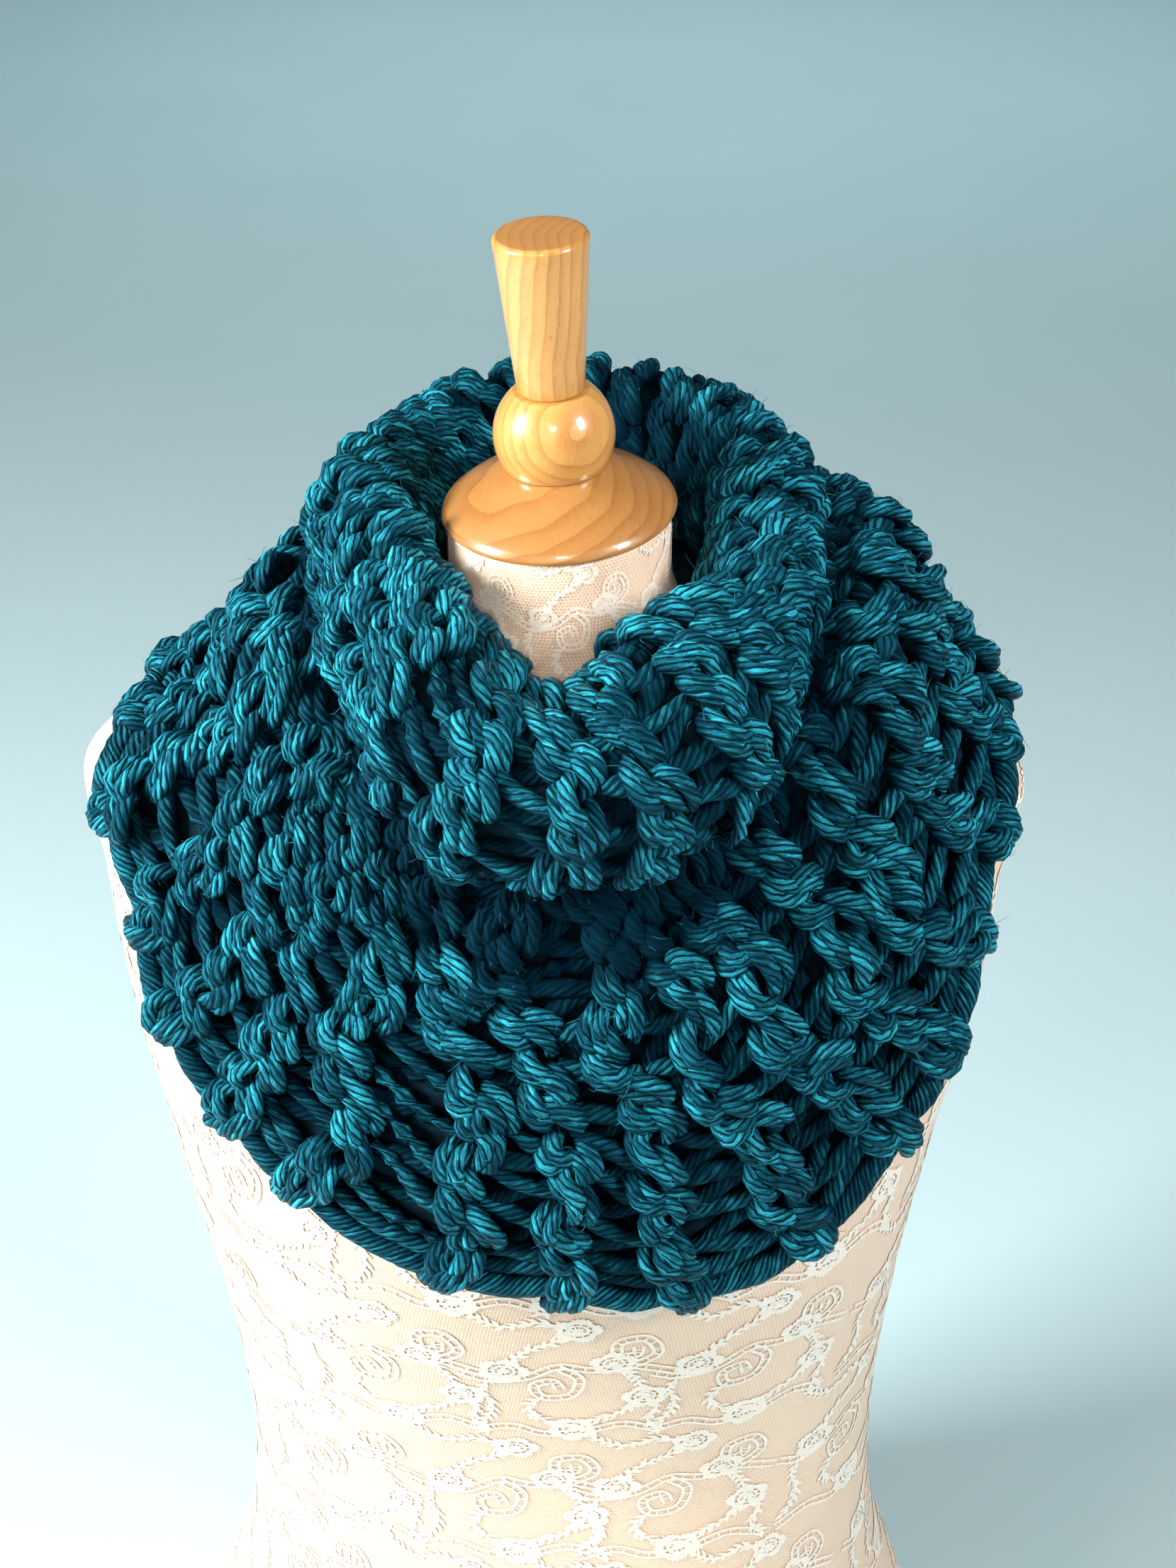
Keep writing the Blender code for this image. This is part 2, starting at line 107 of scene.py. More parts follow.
TUCK_POINT = 4
TUCK_PLACE = 0.5
RIB_PLACES = (0.0, 0.45, 0.55, 0.70, 0.85, 1.0)
FRONT_RIBS = (
    # azimuths of each rib from the hem up to below the tuck, at the last four of those places
    (-84, -82, -80, -79),
    (-75, -72, -69, -67),
    (-66, -61.5, -58, -56),
    (-58, -52.5, -49.5, -49.5),
    (-48, -44.5, -42, -42.5),
    (-38.5, -32, -33, -31),
    (-15.5, -9, -16, -22),
    (4, 5, -2, -10),
    (24, 18.5, 16.5, 12),
    (43, 34.5, 27, 21),
    (54, 46, 38, 32),
    (61, 54, 49.5, 44.5),
    (69, 61, 56, 55),
    (77.5, 71, 67, 66),
    (87, 83, 79.5, 78),
    (97, 94, 91.5, 90),
)
BACK_RIBS = 12
RIBS = len(FRONT_RIBS) + BACK_RIBS
RIB_SLANT = 8.0
WALL = 6.0 * MM
CLOTH_GAP = 0.95 * MM
NECK_GAP = 1.8 * MM

# ---- Where shade is painted on the wool: places and shares of the cloth, and azimuths ----
TUCK_SHADE = 0.05
TUCK_SHADE_AHEAD = 0.13
TUCK_SHADE_FADE = 0.07
TUCK_SHADE_TURN = 3.0
TUCK_SHADE_FOCUS = 3
BACK_SHADE = 0.8
BACK_SHADE_TO = 0.37
BACK_SHADE_FADE = 0.14
BACK_SHADE_TURN = 162.0
BACK_SHADE_FOCUS = 1.5

# ---- Relief of the stitches and the sway of their ribs ----
LOW_RELIEF = 0.25
RELIEF_FADE = 0.07
WAVE_FADE = 30.0 * MM
SWAYS = (
    # in ribs: height, turns round the scarf, wavelength up the cloth, start
    (0.11, 5, 0.090, 0.4),
    (0.08, 11, 0.055, 2.1),
    (0.07, 17, -0.070, 4.0),
)
SWELLS = (
    # in metres, the same way
    (0.0013, 7, 0.130, 1.0),
    (0.0009, 13, -0.080, 0.5),
    (0.0007, 19, 0.050, 3.3),
)

# ---- The neck's top, and the wood's lean on it ----
NECK_TOP = 0.720
NECK_SLANT_FROM = 0.680
LEAN_LEFT = math.radians(3.0)
LEAN_FORWARD = math.radians(2.0)
SEAT_GAP = 0.3 * MM


# ---- Shapes ----
def hermite(places: Array, values: Array, at: Array, period: float | None = None) -> Array:
    """Reads a smooth curve through a table.

    Args:
        places: Rising positions of the table's rows.
        values: One row of values for each place.
        at: Where to read.
        period: Length after which the table repeats, if it does.

    Returns:
        One row of values for each entry of at.
    """
    places = np.asarray(places, float)
    values = np.asarray(values, float)
    if period:
        places = np.concatenate([places[-2:] - period, places, places[:2] + period])
        values = np.concatenate([values[-2:], values, values[:2]])
        at = np.mod(at, period)
    span = np.diff(places)[:, None]
    rise = np.diff(values, axis=0) / span
    slope = np.empty_like(values)
    slope[1:-1] = (rise[:-1] * span[1:] + rise[1:] * span[:-1]) / (span[:-1] + span[1:])
    slope[0], slope[-1] = rise[0], rise[-1]
    at = np.clip(at, places[0], places[-1])
    left = np.clip(np.searchsorted(places, at, side="right") - 1, 0, len(places) - 2)
    width = (places[left + 1] - places[left])[:, None]
    part = (at - places[left])[:, None] / width
    start = (1 + 2 * part) * values[left] + part * width * slope[left]
    end = (3 - 2 * part) * values[left + 1] - (1 - part) * width * slope[left + 1]
    return (1 - part) ** 2 * start + part**2 * end


def run_length(points: Array) -> Array:
    """Distance along a line of points, from its first point to each.

    Args:
        points: Points of one or more lines.

    Returns:
        The distance at each point.
    """
    steps = np.linalg.norm(np.diff(points, axis=-2), axis=-1)
    first = np.zeros((*steps.shape[:-1], 1))
    return np.concatenate([first, np.cumsum(steps, axis=-1)], axis=-1)


def in_space(azimuths: Array, section: Array) -> Array:
    """Space points of section points (radius, height) at their azimuths.

    Args:
        azimuths: Azimuths.
        section: Radius and height at each.

    Returns:
        The points in space.
    """
    turn = np.radians(azimuths)
    radius, height = section[..., 0], section[..., 1]
    return np.stack([radius * np.sin(turn), -radius * np.cos(turn), height], axis=-1)


def unit(vectors: Array) -> Array:
    """The vectors at length 1."""
    return vectors / np.maximum(np.linalg.norm(vectors, axis=-1, keepdims=True), 1e-12)


def form_radius(azimuth: Array, height: Array) -> Array:
    """Distance from the axis to the form's face, at azimuths and heights given as equal arrays.

    Args:
        azimuth: Azimuths.
        height: Heights.

    Returns:
        The distance at each.
    """
    table = np.array(FORM_SECTIONS)
    half_width, front, back, square, shift = hermite(table[:, 0], table[:, 1:], np.ravel(height)).T
    turn = np.radians(np.ravel(azimuth))
    depth = np.where(np.cos(turn) >= 0, front, back)
    across = (np.abs(np.sin(turn)) / half_width) ** square
    along = (np.abs(np.cos(turn)) / depth) ** square
    radius = (across + along) ** (-1 / square) + shift * np.sin(turn)
    return radius.reshape(np.shape(height))


def slanted(points: Array) -> Array:
    """The form's points with the neck's top slanted to carry the leaning cap.

    Args:
        points: Points of the level form.

    Returns:
        The moved points.
    """
    share = np.clip((points[..., 2] - NECK_SLANT_FROM) / (NECK_TOP - NECK_SLANT_FROM), 0, 1)
    rise = points[..., 0] * math.tan(LEAN_LEFT) + points[..., 1] * math.tan(LEAN_FORWARD)
    moved = points.copy()
    moved[..., 2] += share * rise
    return moved


def smooth_lines(controls: Array, count: int) -> Array:
    """Catmull-Rom lines through rows of control points.

    Args:
        controls: Control points, as lines by points by three.
        count: Points on each finished line.

    Returns:
        The lines' points, as lines by count by three.
    """
    before = 2 * controls[:, :1] - controls[:, 1:2]
    after = 2 * controls[:, -1:] - controls[:, -2:-1]
    held = np.concatenate([before, controls, after], axis=1)
    spans = controls.shape[1] - 1
    at = np.linspace(0, spans, count)
    low = np.minimum(at.astype(int), spans - 1)
    part = (at - low)[None, :, None]
    one, two, three, four = (held[:, low + shift] for shift in range(4))
    slope_two, slope_three = (three - one) / 2, (four - two) / 2
    cube = part**3
    square = part**2
    return (
        (2 * cube - 3 * square + 1) * two
        + (cube - 2 * square + part) * slope_two
        + (3 * square - 2 * cube) * three
        + (cube - square) * slope_three
    )


class ScarfSurface:
    """The scarf's plain outer face, addressed by a rib number, which may lie between two ribs, and an up."""

    COLUMNS = 240
    ROWS = 161
    CURVE_STEPS = 600
    STEP = 1.0 * MM

    def __init__(self) -> None:
        """Builds the face's grids and the table of places by rib and up."""
        self.turns = np.arange(self.COLUMNS) * 360 / self.COLUMNS
        self.places = np.linspace(0, 1, self.ROWS)
        self.points = in_space(self.turns[:, None], self._sections())
        around = np.roll(self.points, -1, axis=0) - np.roll(self.points, 1, axis=0)
        along = np.gradient(self.points, axis=1)
        self.normals = unit(np.cross(along, around))
        self.paths = hermite(RIB_PLACES, self._rib_paths().T, self.places).T
        self.lengths, self.place_table = self._place_table()

    def _sections(self) -> Array:
        """The face's section points by azimuth and place, clear of the form.

        Returns:
            The points, as azimuths by places by radius and height.
        """
        table = np.array(SCARF_SECTIONS, float)
        rows = hermite(table[:, 0], table[:, 1:] * MM, self.turns, period=360)
        made = [self._curve(points) for points in rows.reshape(len(self.turns), -1, 2)]
        face = np.array([pair[0] for pair in made])
        out = np.array([pair[1] for pair in made])
        inner = face - WALL * out
        gap = np.where(self.places < TUCK_PLACE, NECK_GAP, CLOTH_GAP)
        turns = np.repeat(self.turns[:, None], len(self.places), axis=1)
        cleared = self._lifted(turns, inner, gap)
        return face + cleared - inner

    def _curve(self, points: Array) -> tuple[Array, Array]:
        """A section's face and its outward directions, evenly spaced on each side of the tuck.

        Args:
            points: The section's radii and heights.

        Returns:
            The face's points and its directions.
        """
        chord = run_length(points)
        dense = np.linspace(0, chord[-1], self.CURVE_STEPS)
        fine = hermite(chord, points, dense)
        run = run_length(fine)
        tuck = np.interp(chord[TUCK_POINT], dense, run)
        spots = np.interp(self.places, (0, TUCK_PLACE, 1), (0, tuck, run[-1]))
        face = np.stack([np.interp(spots, run, fine[:, axis]) for axis in range(2)], axis=1)
        along = unit(np.gradient(face, spots, axis=0))
        return face, np.stack([-along[:, 1], along[:, 0]], axis=1)

    def _lifted(self, azimuth: Array, points: Array, gap: Array) -> Array:
        """Section points moved out from the form's face until they clear it by the gap.

        Args:
            azimuth: The points' azimuths.
            points: Section points.
            gap: The gap at each.

        Returns:
            The moved points.
        """
        for _ in range(4):
            radius, height = points[..., 0], points[..., 1]
            above = form_radius(azimuth, height + self.STEP)
            below = form_radius(azimuth, height - self.STEP)
            slope = (above - below) / (2 * self.STEP)
            length = np.sqrt(1 + slope**2)
            lacking = np.maximum(gap - (radius - form_radius(azimuth, height)) / length, 0)
            lacking = np.where(height > NECK_TOP, 0, lacking)
            points = points + np.stack([lacking / length, -slope * lacking / length], axis=-1)
        return points

    def _rib_paths(self) -> Array:
        """Azimuths of the ribs at RIB_PLACES, once round, and of the first one again.

        Returns:
            Azimuths, as ribs by places.
        """
        front = np.array(FRONT_RIBS, float)
        first = front[:1] + 360
        turn = np.linspace(front[-1, 0], first[0, 0], 361)
        table = np.array(SCARF_SECTIONS, float)
        hem = hermite(table[:, 0], table[:, -2:] * MM, turn, period=360)
        run = run_length(in_space(turn, hem))
        back = np.linspace(front[-1], first[0], BACK_RIBS + 2)[1:-1]
        back[:, 0] = np.interp(np.linspace(0, run[-1], BACK_RIBS + 2), run, turn)[1:-1]
        below = np.concatenate([front, back, first])
        neck = front[0, 0] + np.arange(RIBS + 1) * 360 / RIBS - RIB_SLANT
        above = below[:, 0] * RIB_PLACES[1] + neck * (1 - RIB_PLACES[1])
        return np.column_stack([neck, above, below[:, ::-1]])

    def _place_table(self) -> tuple[Array, Array]:
        """Each rib's length, and its places at every step up from the hem.

        Returns:
            The lengths, and the places as ribs by ups.
        """
        places = np.linspace(1, 0, 2 * self.ROWS - 1)
        ribs = np.arange(RIBS + 1)
        azimuths = self.azimuth(ribs[:, None], places[None])
        spots = self._read(self.points, azimuths, np.broadcast_to(places, azimuths.shape))
        run = run_length(spots)
        ups = np.arange(0, run.max() + self.STEP, self.STEP)
        table = np.array([np.interp(ups, line, places) for line in run])
        return run[:, -1], table

    def azimuth(self, ribs: Array, places: Array) -> Array:
        """Azimuths at rib numbers and places.

        Args:
            ribs: Rib numbers.
            places: Places on them.

        Returns:
            The azimuth at each.
        """
        ribs, places = np.broadcast_arrays(np.asarray(ribs, float), np.asarray(places, float))
        turns = np.floor(ribs / RIBS)
        left = np.floor(ribs - turns * RIBS).astype(int)
        step = np.clip(places, 0, 1) * (len(self.places) - 1)
        low = np.minimum(step.astype(int), len(self.places) - 2)
        part, rise = ribs - turns * RIBS - left, step - low
        near = self.paths[left, low] * (1 - rise) + self.paths[left, low + 1] * rise
        far = self.paths[left + 1, low] * (1 - rise) + self.paths[left + 1, low + 1] * rise
        return near * (1 - part) + far * part + 360 * turns

    def _read(self, grid: Array, azimuths: Array, places: Array) -> Array:
        """Values of one of the face's grids at azimuths and places given as equal arrays.

        Args:
            grid: The grid, as azimuths by places.
            azimuths: Azimuths.
            places: Places.

        Returns:
            The value at each.
        """
        column = np.mod(azimuths, 360) / 360 * len(self.turns)
        row = np.clip(places, 0, 1) * (len(self.places) - 1)
        left = np.floor(column).astype(int)
        low = np.minimum(np.floor(row).astype(int), len(self.places) - 2)
        over, rise = (column - left)[..., None], (row - low)[..., None]
        left, right = left % len(self.turns), (left + 1) % len(self.turns)
        near = grid[left, low] * (1 - rise) + grid[left, low + 1] * rise
        far = grid[right, low] * (1 - rise) + grid[right, low + 1] * rise
        return near * (1 - over) + far * over

    def place(self, ribs: Array, ups: Array) -> Array:
        """Places at rib numbers and ups.

        Args:
            ribs: Rib numbers.
            ups: Ups on them.

        Returns:
            The place at each.
        """
        ribs = np.mod(ribs, RIBS)
        left = np.floor(ribs).astype(int)
        part = ribs - left
        step = np.clip(ups / self.STEP, 0, self.place_table.shape[1] - 1.001)
        low = step.astype(int)
        rise = step - low
        near = self.place_table[left, low] * (1 - rise) + self.place_table[left, low + 1] * rise
        far = self.place_table[left + 1, low] * (1 - rise) + self.place_table[left + 1, low + 1] * rise
        return near * (1 - part) + far * part

    def length(self, ribs: Array) -> Array:
        """The cloth's length from the hem to the neck edge, at rib numbers."""
        return np.interp(np.mod(ribs, RIBS), np.arange(RIBS + 1), self.lengths)

    def at_places(self, ribs: Array, places: Array) -> tuple[Array, Array]:
        """Points and normals of the face at rib numbers and places given as equal arrays."""
        azimuths = self.azimuth(ribs, places)
        return self._read(self.points, azimuths, places), unit(self._read(self.normals, azimuths, places))

    @staticmethod
    def _waves(waves: tuple[tuple[float, float, float, float], ...], ribs: Array, ups: Array) -> Array:
        """A sum of waves over the cloth, faded out at the hem.

        Args:
            waves: The height, turns round the scarf, wavelength up the cloth and start of each wave.
            ribs: Rib numbers.
            ups: Ups.

        Returns:
            The sum at each.
        """
        turn = 2 * math.pi * ribs / RIBS
        total = np.zeros_like(turn)
        for size, around, long, start in waves:
            total = total + size * np.sin(around * turn + 2 * math.pi * ups / long + start)
        return total * np.clip(ups / WAVE_FADE, 0, 1)

    def spots(self, ribs: Array, ups: Array) -> tuple[Array, Array]:
        """Points and normals of the swaying face at rib numbers and ups; it runs straight on past the hem.

        Args:
            ribs: Rib numbers.
            ups: Ups on them.

        Returns:
            The points and the normals.
        """
        ribs, ups = np.broadcast_arrays(np.asarray(ribs, float), np.asarray(ups, float))
        swell = self._waves(SWELLS, ribs, ups) * self.relief(ribs, np.maximum(ups, 0))
        ribs = ribs + self._waves(SWAYS, ribs, ups)
        points, normals = self.at_places(ribs, self.place(ribs, np.maximum(ups, 0)))
        zero = np.zeros_like(ups)
        hem, _ = self.at_places(ribs, self.place(ribs, zero))
        above, _ = self.at_places(ribs, self.place(ribs, zero + 2 * MM))
        past = np.maximum(-ups, 0)[..., None]
        return points + unit(hem - above) * past + normals * swell[..., None], normals

    def frames(self, ribs: Array, ups: Array) -> tuple[Array, Array, Array, Array]:
        """Points, directions across the rib and towards the hem, and normals.

        Args:
            ribs: Rib numbers.
            ups: Ups on them.

        Returns:
            The points, the two directions and the normals.
        """
        points, normals = self.spots(ribs, ups)
        lower, _ = self.spots(ribs, ups - self.STEP)
        upper, _ = self.spots(ribs, ups + self.STEP)
        down = unit(lower - upper)
        across = unit(np.cross(normals, down))
        return points, across, down, normals

    def spacing(self, ribs: Array, ups: Array) -> Array:
        """Distance between neighbouring ribs.

        Args:
            ribs: Rib numbers.
            ups: Ups on them.

        Returns:
            The distance at each.
        """
        one, _ = self.spots(ribs - 0.5, ups)
        other, _ = self.spots(ribs + 0.5, ups)
        return np.linalg.norm(other - one, axis=-1)

    def shade(self, ribs: Array, ups: Array) -> Array:
        """Painted shade of the cloth, 0 to 1: in the tuck, most at the front, and inside the back of its
        roll.

        Args:
            ribs: Rib numbers.
            ups: Ups on them.

        Returns:
            The shade at each.
        """
        places = self.place(ribs, ups)
        azimuths = self.azimuth(ribs, places)
        ahead = np.maximum(np.cos(np.radians(azimuths - TUCK_SHADE_TURN)), 0) ** TUCK_SHADE_FOCUS
        behind = np.maximum(np.cos(np.radians(azimuths - BACK_SHADE_TURN)), 0) ** BACK_SHADE_FOCUS
        inside = BACK_SHADE * behind * np.clip((BACK_SHADE_TO - places) / BACK_SHADE_FADE, 0, 1)
        below = (TUCK_SHADE + TUCK_SHADE_AHEAD * ahead - (places - TUCK_PLACE)) / TUCK_SHADE_FADE
        above = (TUCK_SHADE - (TUCK_PLACE - places)) / TUCK_SHADE
        return np.maximum(np.clip(np.where(places > TUCK_PLACE, below, above), 0, 1), inside)

    def relief(self, ribs: Array, ups: Array) -> Array:
        """Share of the full relief, which sinks at the neck edge and in the tuck.

        Args:
            ribs: Rib numbers.
            ups: Ups on them.

        Returns:
            The share at each.
        """
        places = self.place(ribs, ups)
        near = np.minimum(places, np.abs(places - TUCK_PLACE))
        return LOW_RELIEF + (1 - LOW_RELIEF) * np.clip(near / RELIEF_FADE, 0, 1)


# ---- Node trees ----
@dataclass
class Tree:
    """Adds nodes to a tree and links them in one call each."""

    tree: bpy.types.NodeTree

    def add(
        self, kind: str, feeds: dict[str | int, Feed] | None = None, **settings: object
    ) -> bpy.types.Node:
        """Adds a node.

        Args:
            kind: The node's type.
            feeds: What goes into its inputs, by name or index.
            settings: The node's own properties.

        Returns:
            The node.
        """
        node = self.tree.nodes.new(kind)
        for name, value in settings.items():
            setattr(node, name, value)
        for key, value in (feeds or {}).items():
            self.feed(node.inputs[key], value)
        return node

    def feed(self, socket: Socket, value: Feed) -> None:
        """Links a socket to an input, or sets its value.

        Args:
            socket: The socket.
            value: The input or value. None leaves it alone.
        """
        if isinstance(value, bpy.types.NodeSocket):
            self.tree.links.new(value, socket)
        elif value is not None:
            socket.default_value = value

    def math(self, operation: str, one: Feed, two: Feed = None, three: Feed = None) -> Socket:
        """The result of a Math node.

        Args:
            operation: What the node does.
            one: Its first input.
            two: Its second.
            three: Its third.

        Returns:
            The result.
        """
        node = self.add("ShaderNodeMath", operation=operation)
        for socket, value in zip(node.inputs, (one, two, three)):
            self.feed(socket, value)
        return node.outputs[0]

    def times(self, one: Feed, other: Feed) -> Socket:
        """The product of two values."""
        return self.math("MULTIPLY", one, other)

    def total(self, *values: Feed) -> Socket:
        """The sum of two or more values.

        Args:
            values: The values.

        Returns:
            The sum.
        """
        result, *others = values
        for value in others:
            result = self.math("ADD", result, value)
        return result

    def wave(self, phase: Feed) -> Socket:
        """A sine wave from 0 to 1."""
        return self.math("MULTIPLY_ADD", self.math("SINE", phase), 0.5, 0.5)

    def ramp(self, value: Feed, span: Span, to_low: float = 0.0, to_high: float = 1.0) -> Socket:
        """A value eased from one range to another.

        Args:
            value: The value.
            span: The range that it is eased over.
            to_low: The result at the range's low end.
            to_high: The result at its high end.

        Returns:
            The eased value.
        """
        node = self.add("ShaderNodeMapRange", interpolation_type="SMOOTHSTEP")
        limits = {"From Min": span[0], "From Max": span[1], "To Min": to_low, "To Max": to_high}
        for name, given in {"Value": value, **limits}.items():
            self.feed(node.inputs[name], given)
        return node.outputs["Result"]

    def mix(self, share: Feed, one: Feed, other: Feed) -> Socket:
        """Two colours mixed.

        Args:
            share: Share of the other colour.
            one: One colour.
            other: The other.

        Returns:
            The mixed colour.
        """
        node = self.add("ShaderNodeMix", {0: share}, data_type="RGBA", clamp_factor=True)
        for index, value in ((6, one), (7, other)):
            self.feed(node.inputs[index], rgba(value) if isinstance(value, tuple) else value)
        return node.outputs[2]

    def noise(self, vector: Feed, scale: float, detail: float = 3.0, rough: float = 0.55) -> Socket:
        """A noise's value."""
        feeds = {"Vector": vector, "Scale": scale, "Detail": detail, "Roughness": rough}
        return self.add("ShaderNodeTexNoise", feeds).outputs[0]

    def vector(self, x: Feed = None, y: Feed = None, z: Feed = None) -> Socket:
        """A vector of its three parts."""
        return self.add("ShaderNodeCombineXYZ", {0: x, 1: y, 2: z}).outputs[0]

    def parts(self, vector: Feed) -> tuple[Socket, ...]:
        """The three parts of a vector."""
        return tuple(self.add("ShaderNodeSeparateXYZ", {0: vector}).outputs)


class Surface(Tree):
    """The node tree of a new material, with its shader."""

    def __init__(self, name: str) -> None:
        """Starts the material.

        Args:
            name: The material's name.
        """
        self.material = bpy.data.materials.new(name)
        self.material.use_nodes = True
        super().__init__(self.material.node_tree)
        self.shader = self.tree.nodes["Principled BSDF"]

    def place(self) -> Socket:
        """The place on the piece in metres."""
        return self.add("ShaderNodeTexCoord").outputs["Object"]

    def cloth(self) -> Socket:
        """The place in the piece's map of its cloth."""
        return self.add("ShaderNodeUVMap", uv_map="cloth").outputs[0]

    def normal(self) -> Socket:
        """The way the surface faces."""
        return self.add("ShaderNodeNewGeometry").outputs["Normal"]

    def attribute(self, name: str, output: str = "Fac") -> Socket:
        """A value that the piece's mesh keeps."""
        return self.add("ShaderNodeAttribute", attribute_name=name).outputs[output]

    def relief(self, height: Socket, strength: float, depth: float) -> Socket:
        """The normal of the surface with a height lifted on it."""
        feeds = {"Strength": strength, "Distance": depth, "Height": height}
        return self.add("ShaderNodeBump", feeds).outputs[0]

    def close(self, looks: dict[str, Feed]) -> bpy.types.Material:
        """Feeds the shader and finishes the material.

        Args:
            looks: What each input of the shader gets.

        Returns:
            The material.
        """
        for name, value in looks.items():
            self.feed(self.shader.inputs[name], value)
        return self.material


def rgba(colour: Colour) -> tuple[float, float, float, float]:
    """A colour with full alpha."""
    return (*colour, 1.0)


@dataclass(frozen=True)
class WoolFinish:
    """Soft spun wool: rounded plies with painted shade in the grooves between them, streaked with finer
    fibres.
    """

    name: str = "teal wool"
    # bright: the lightest tone, given to random plies and flecks, partly painted glints of light
    bright: Colour = (0.034, 0.480, 0.630)
    light: Colour = (0.007, 0.120, 0.180)
    deep: Colour = (0.0018, 0.032, 0.054)
    # groove: the colour of painted shade, used in the ply grooves, on strands' sides and on low strands
    groove: Colour = (0.0005, 0.0075, 0.0190)
    # stray: noise that bends the plies and fibres; its scale, and its cells in each metre of yarn
    stray_scale: float = 2.2
    stray_cells: float = 110.0
    # plies and fibres: radians that they turn in each metre, and how far stray pushes them
    ply_turn: float = 30.0
    ply_stray: float = 4.0
    streaks: float = 37.0
    streak_turn: float = 260.0
    streak_stray: float = 26.0
    groove_shade_span: Span = (0.03, 0.48)
    # each ply's own lightness: noise cells from ply to ply, along the yarn and from strand to strand
    ply_cells: float = 5.3
    own_cells: float = 85.0
    strand_cells: float = 70.0
    own_span: Span = (0.30, 0.70)
    # flecks: noise cells round the plies and along the yarn
    fleck_round: float = 0.75
    fleck_cells: float = 240.0
    # what each adds to the lightness, a random tone, and where that turns light, then bright; the bright end
    # is partly painted glints of light on the plies
    own_weight: float = 0.40
    fibre_weight: float = 0.20
    stray_weight: float = 0.30
    tone_weight: float = 0.28
    fleck_weight: float = 0.95
    light_span: Span = (0.20, 0.66)
    glint_span: Span = (0.53, 0.92)
    # deeper patches over the whole scarf
    patch_scale: float = 26.0
    patch_span: Span = (0.42, 0.75)
    patch_share: float = 0.30
    # painted shade on the sides of a strand, and on strands that lie low or in the shade painted in the tuck
    # and behind the neck
    sides: float = 0.88
    side_shade_span: Span = (-0.30, 0.85)
    painted_shade: float = 0.96
    painted_shade_span: Span = (0.05, 0.95)
    roughness: float = 0.46
    painted_shade_roughness: float = 0.95
    specular: float = 0.2
    tint: Colour = (0.10, 0.80, 1.0)
    fibre_height: float = 0.12
    fleck_height: float = 0.35
    depth: float = 1.1 * MM

    def build(self) -> bpy.types.Material:
        """Builds the finish. The yarn's attributes tell it the angle round a strand and the way along it.

        Returns:
            The material.
        """
        tree = Surface(self.name)
        tone, height_less_shade, along = (tree.attribute(label) for label in ("tone", "height_less_shade", "along"))
        around = tree.attribute("around", "Vector")
        plies = tree.math("ROUND", tree.attribute("plies"))
        x, y, _ = tree.parts(around)
        angle = tree.math("ARCTAN2", y, x)
        lengthwise = tree.vector(z=tree.times(along, self.stray_cells))
        spot = tree.add("ShaderNodeVectorMath", {0: around, 1: lengthwise}, operation="ADD").outputs[0]
        stray = tree.noise(spot, self.stray_scale, 3.0, 0.6)
        turned = tree.total(tree.times(angle, plies), tree.times(along, self.ply_turn))
        turned = tree.total(turned, tree.times(stray, self.ply_stray))
        ply = tree.wave(turned)
        number = tree.math("FLOOR", tree.total(tree.math("DIVIDE", turned, 2 * math.pi), 0.25))
        number = tree.math("FLOORED_MODULO", number, plies)
        strand = tree.times(tone, self.strand_cells)
        spot = tree.vector(tree.times(number, self.ply_cells), tree.times(along, self.own_cells), strand)
        own = tree.ramp(tree.noise(spot, 1.0, 1.0), self.own_span)
        fine = tree.total(tree.times(angle, self.streaks), tree.times(along, self.streak_turn))
        fibre = tree.wave(tree.total(fine, tree.times(stray, self.streak_stray)))
        spot = tree.vector(tree.times(turned, self.fleck_round), tree.times(along, self.fleck_cells), strand)
        fleck = tree.noise(spot, 1.0, 2.0, 0.7)
        tone_and_glint = tree.total(
            tree.times(own, self.own_weight),
            tree.times(fibre, self.fibre_weight),
            tree.times(stray, self.stray_weight),
            tree.times(tone, self.tone_weight),
            tree.times(tree.math("SUBTRACT", fleck, 0.5), self.fleck_weight),
        )
        wool = tree.mix(tree.ramp(tone_and_glint, self.light_span), self.deep, self.light)
        # the bright tone, on random plies and flecks, is partly painted glints of light
        wool = tree.mix(tree.ramp(tone_and_glint, self.glint_span), wool, self.bright)
        patches = tree.noise(tree.place(), self.patch_scale, 2.0)
        wool = tree.mix(tree.ramp(patches, self.patch_span, 0.0, self.patch_share), wool, self.deep)
        # painted shade in the grooves between the plies
        wool = tree.mix(tree.ramp(ply, self.groove_shade_span), self.groove, wool)
        # painted shade on the parts of a strand that face sideways or in, away from the cloth's outward way
        ways = {0: tree.normal(), 1: tree.attribute("out", "Vector")}
        facing = tree.add("ShaderNodeVectorMath", ways, operation="DOT_PRODUCT").outputs["Value"]
        wool = tree.mix(tree.ramp(facing, self.side_shade_span, self.sides, 0.0), wool, self.groove)
        # painted shade where a strand lies low or in the tuck and back shade, with rougher, duller gloss
        # there
        low = tree.ramp(height_less_shade, self.painted_shade_span, self.painted_shade, 0.0)
        rough = tree.math("MULTIPLY_ADD", low, self.painted_shade_roughness - self.roughness, self.roughness)
        height = tree.total(ply, tree.times(fibre, self.fibre_height), tree.times(fleck, self.fleck_height))
        return tree.close(
            {
                "Base Color": tree.mix(low, wool, self.groove),
                "Roughness": rough,
                "Normal": tree.relief(height, 1.0, self.depth),
                "Specular IOR Level": self.specular,
                "Specular Tint": rgba(self.tint),
            }
        )


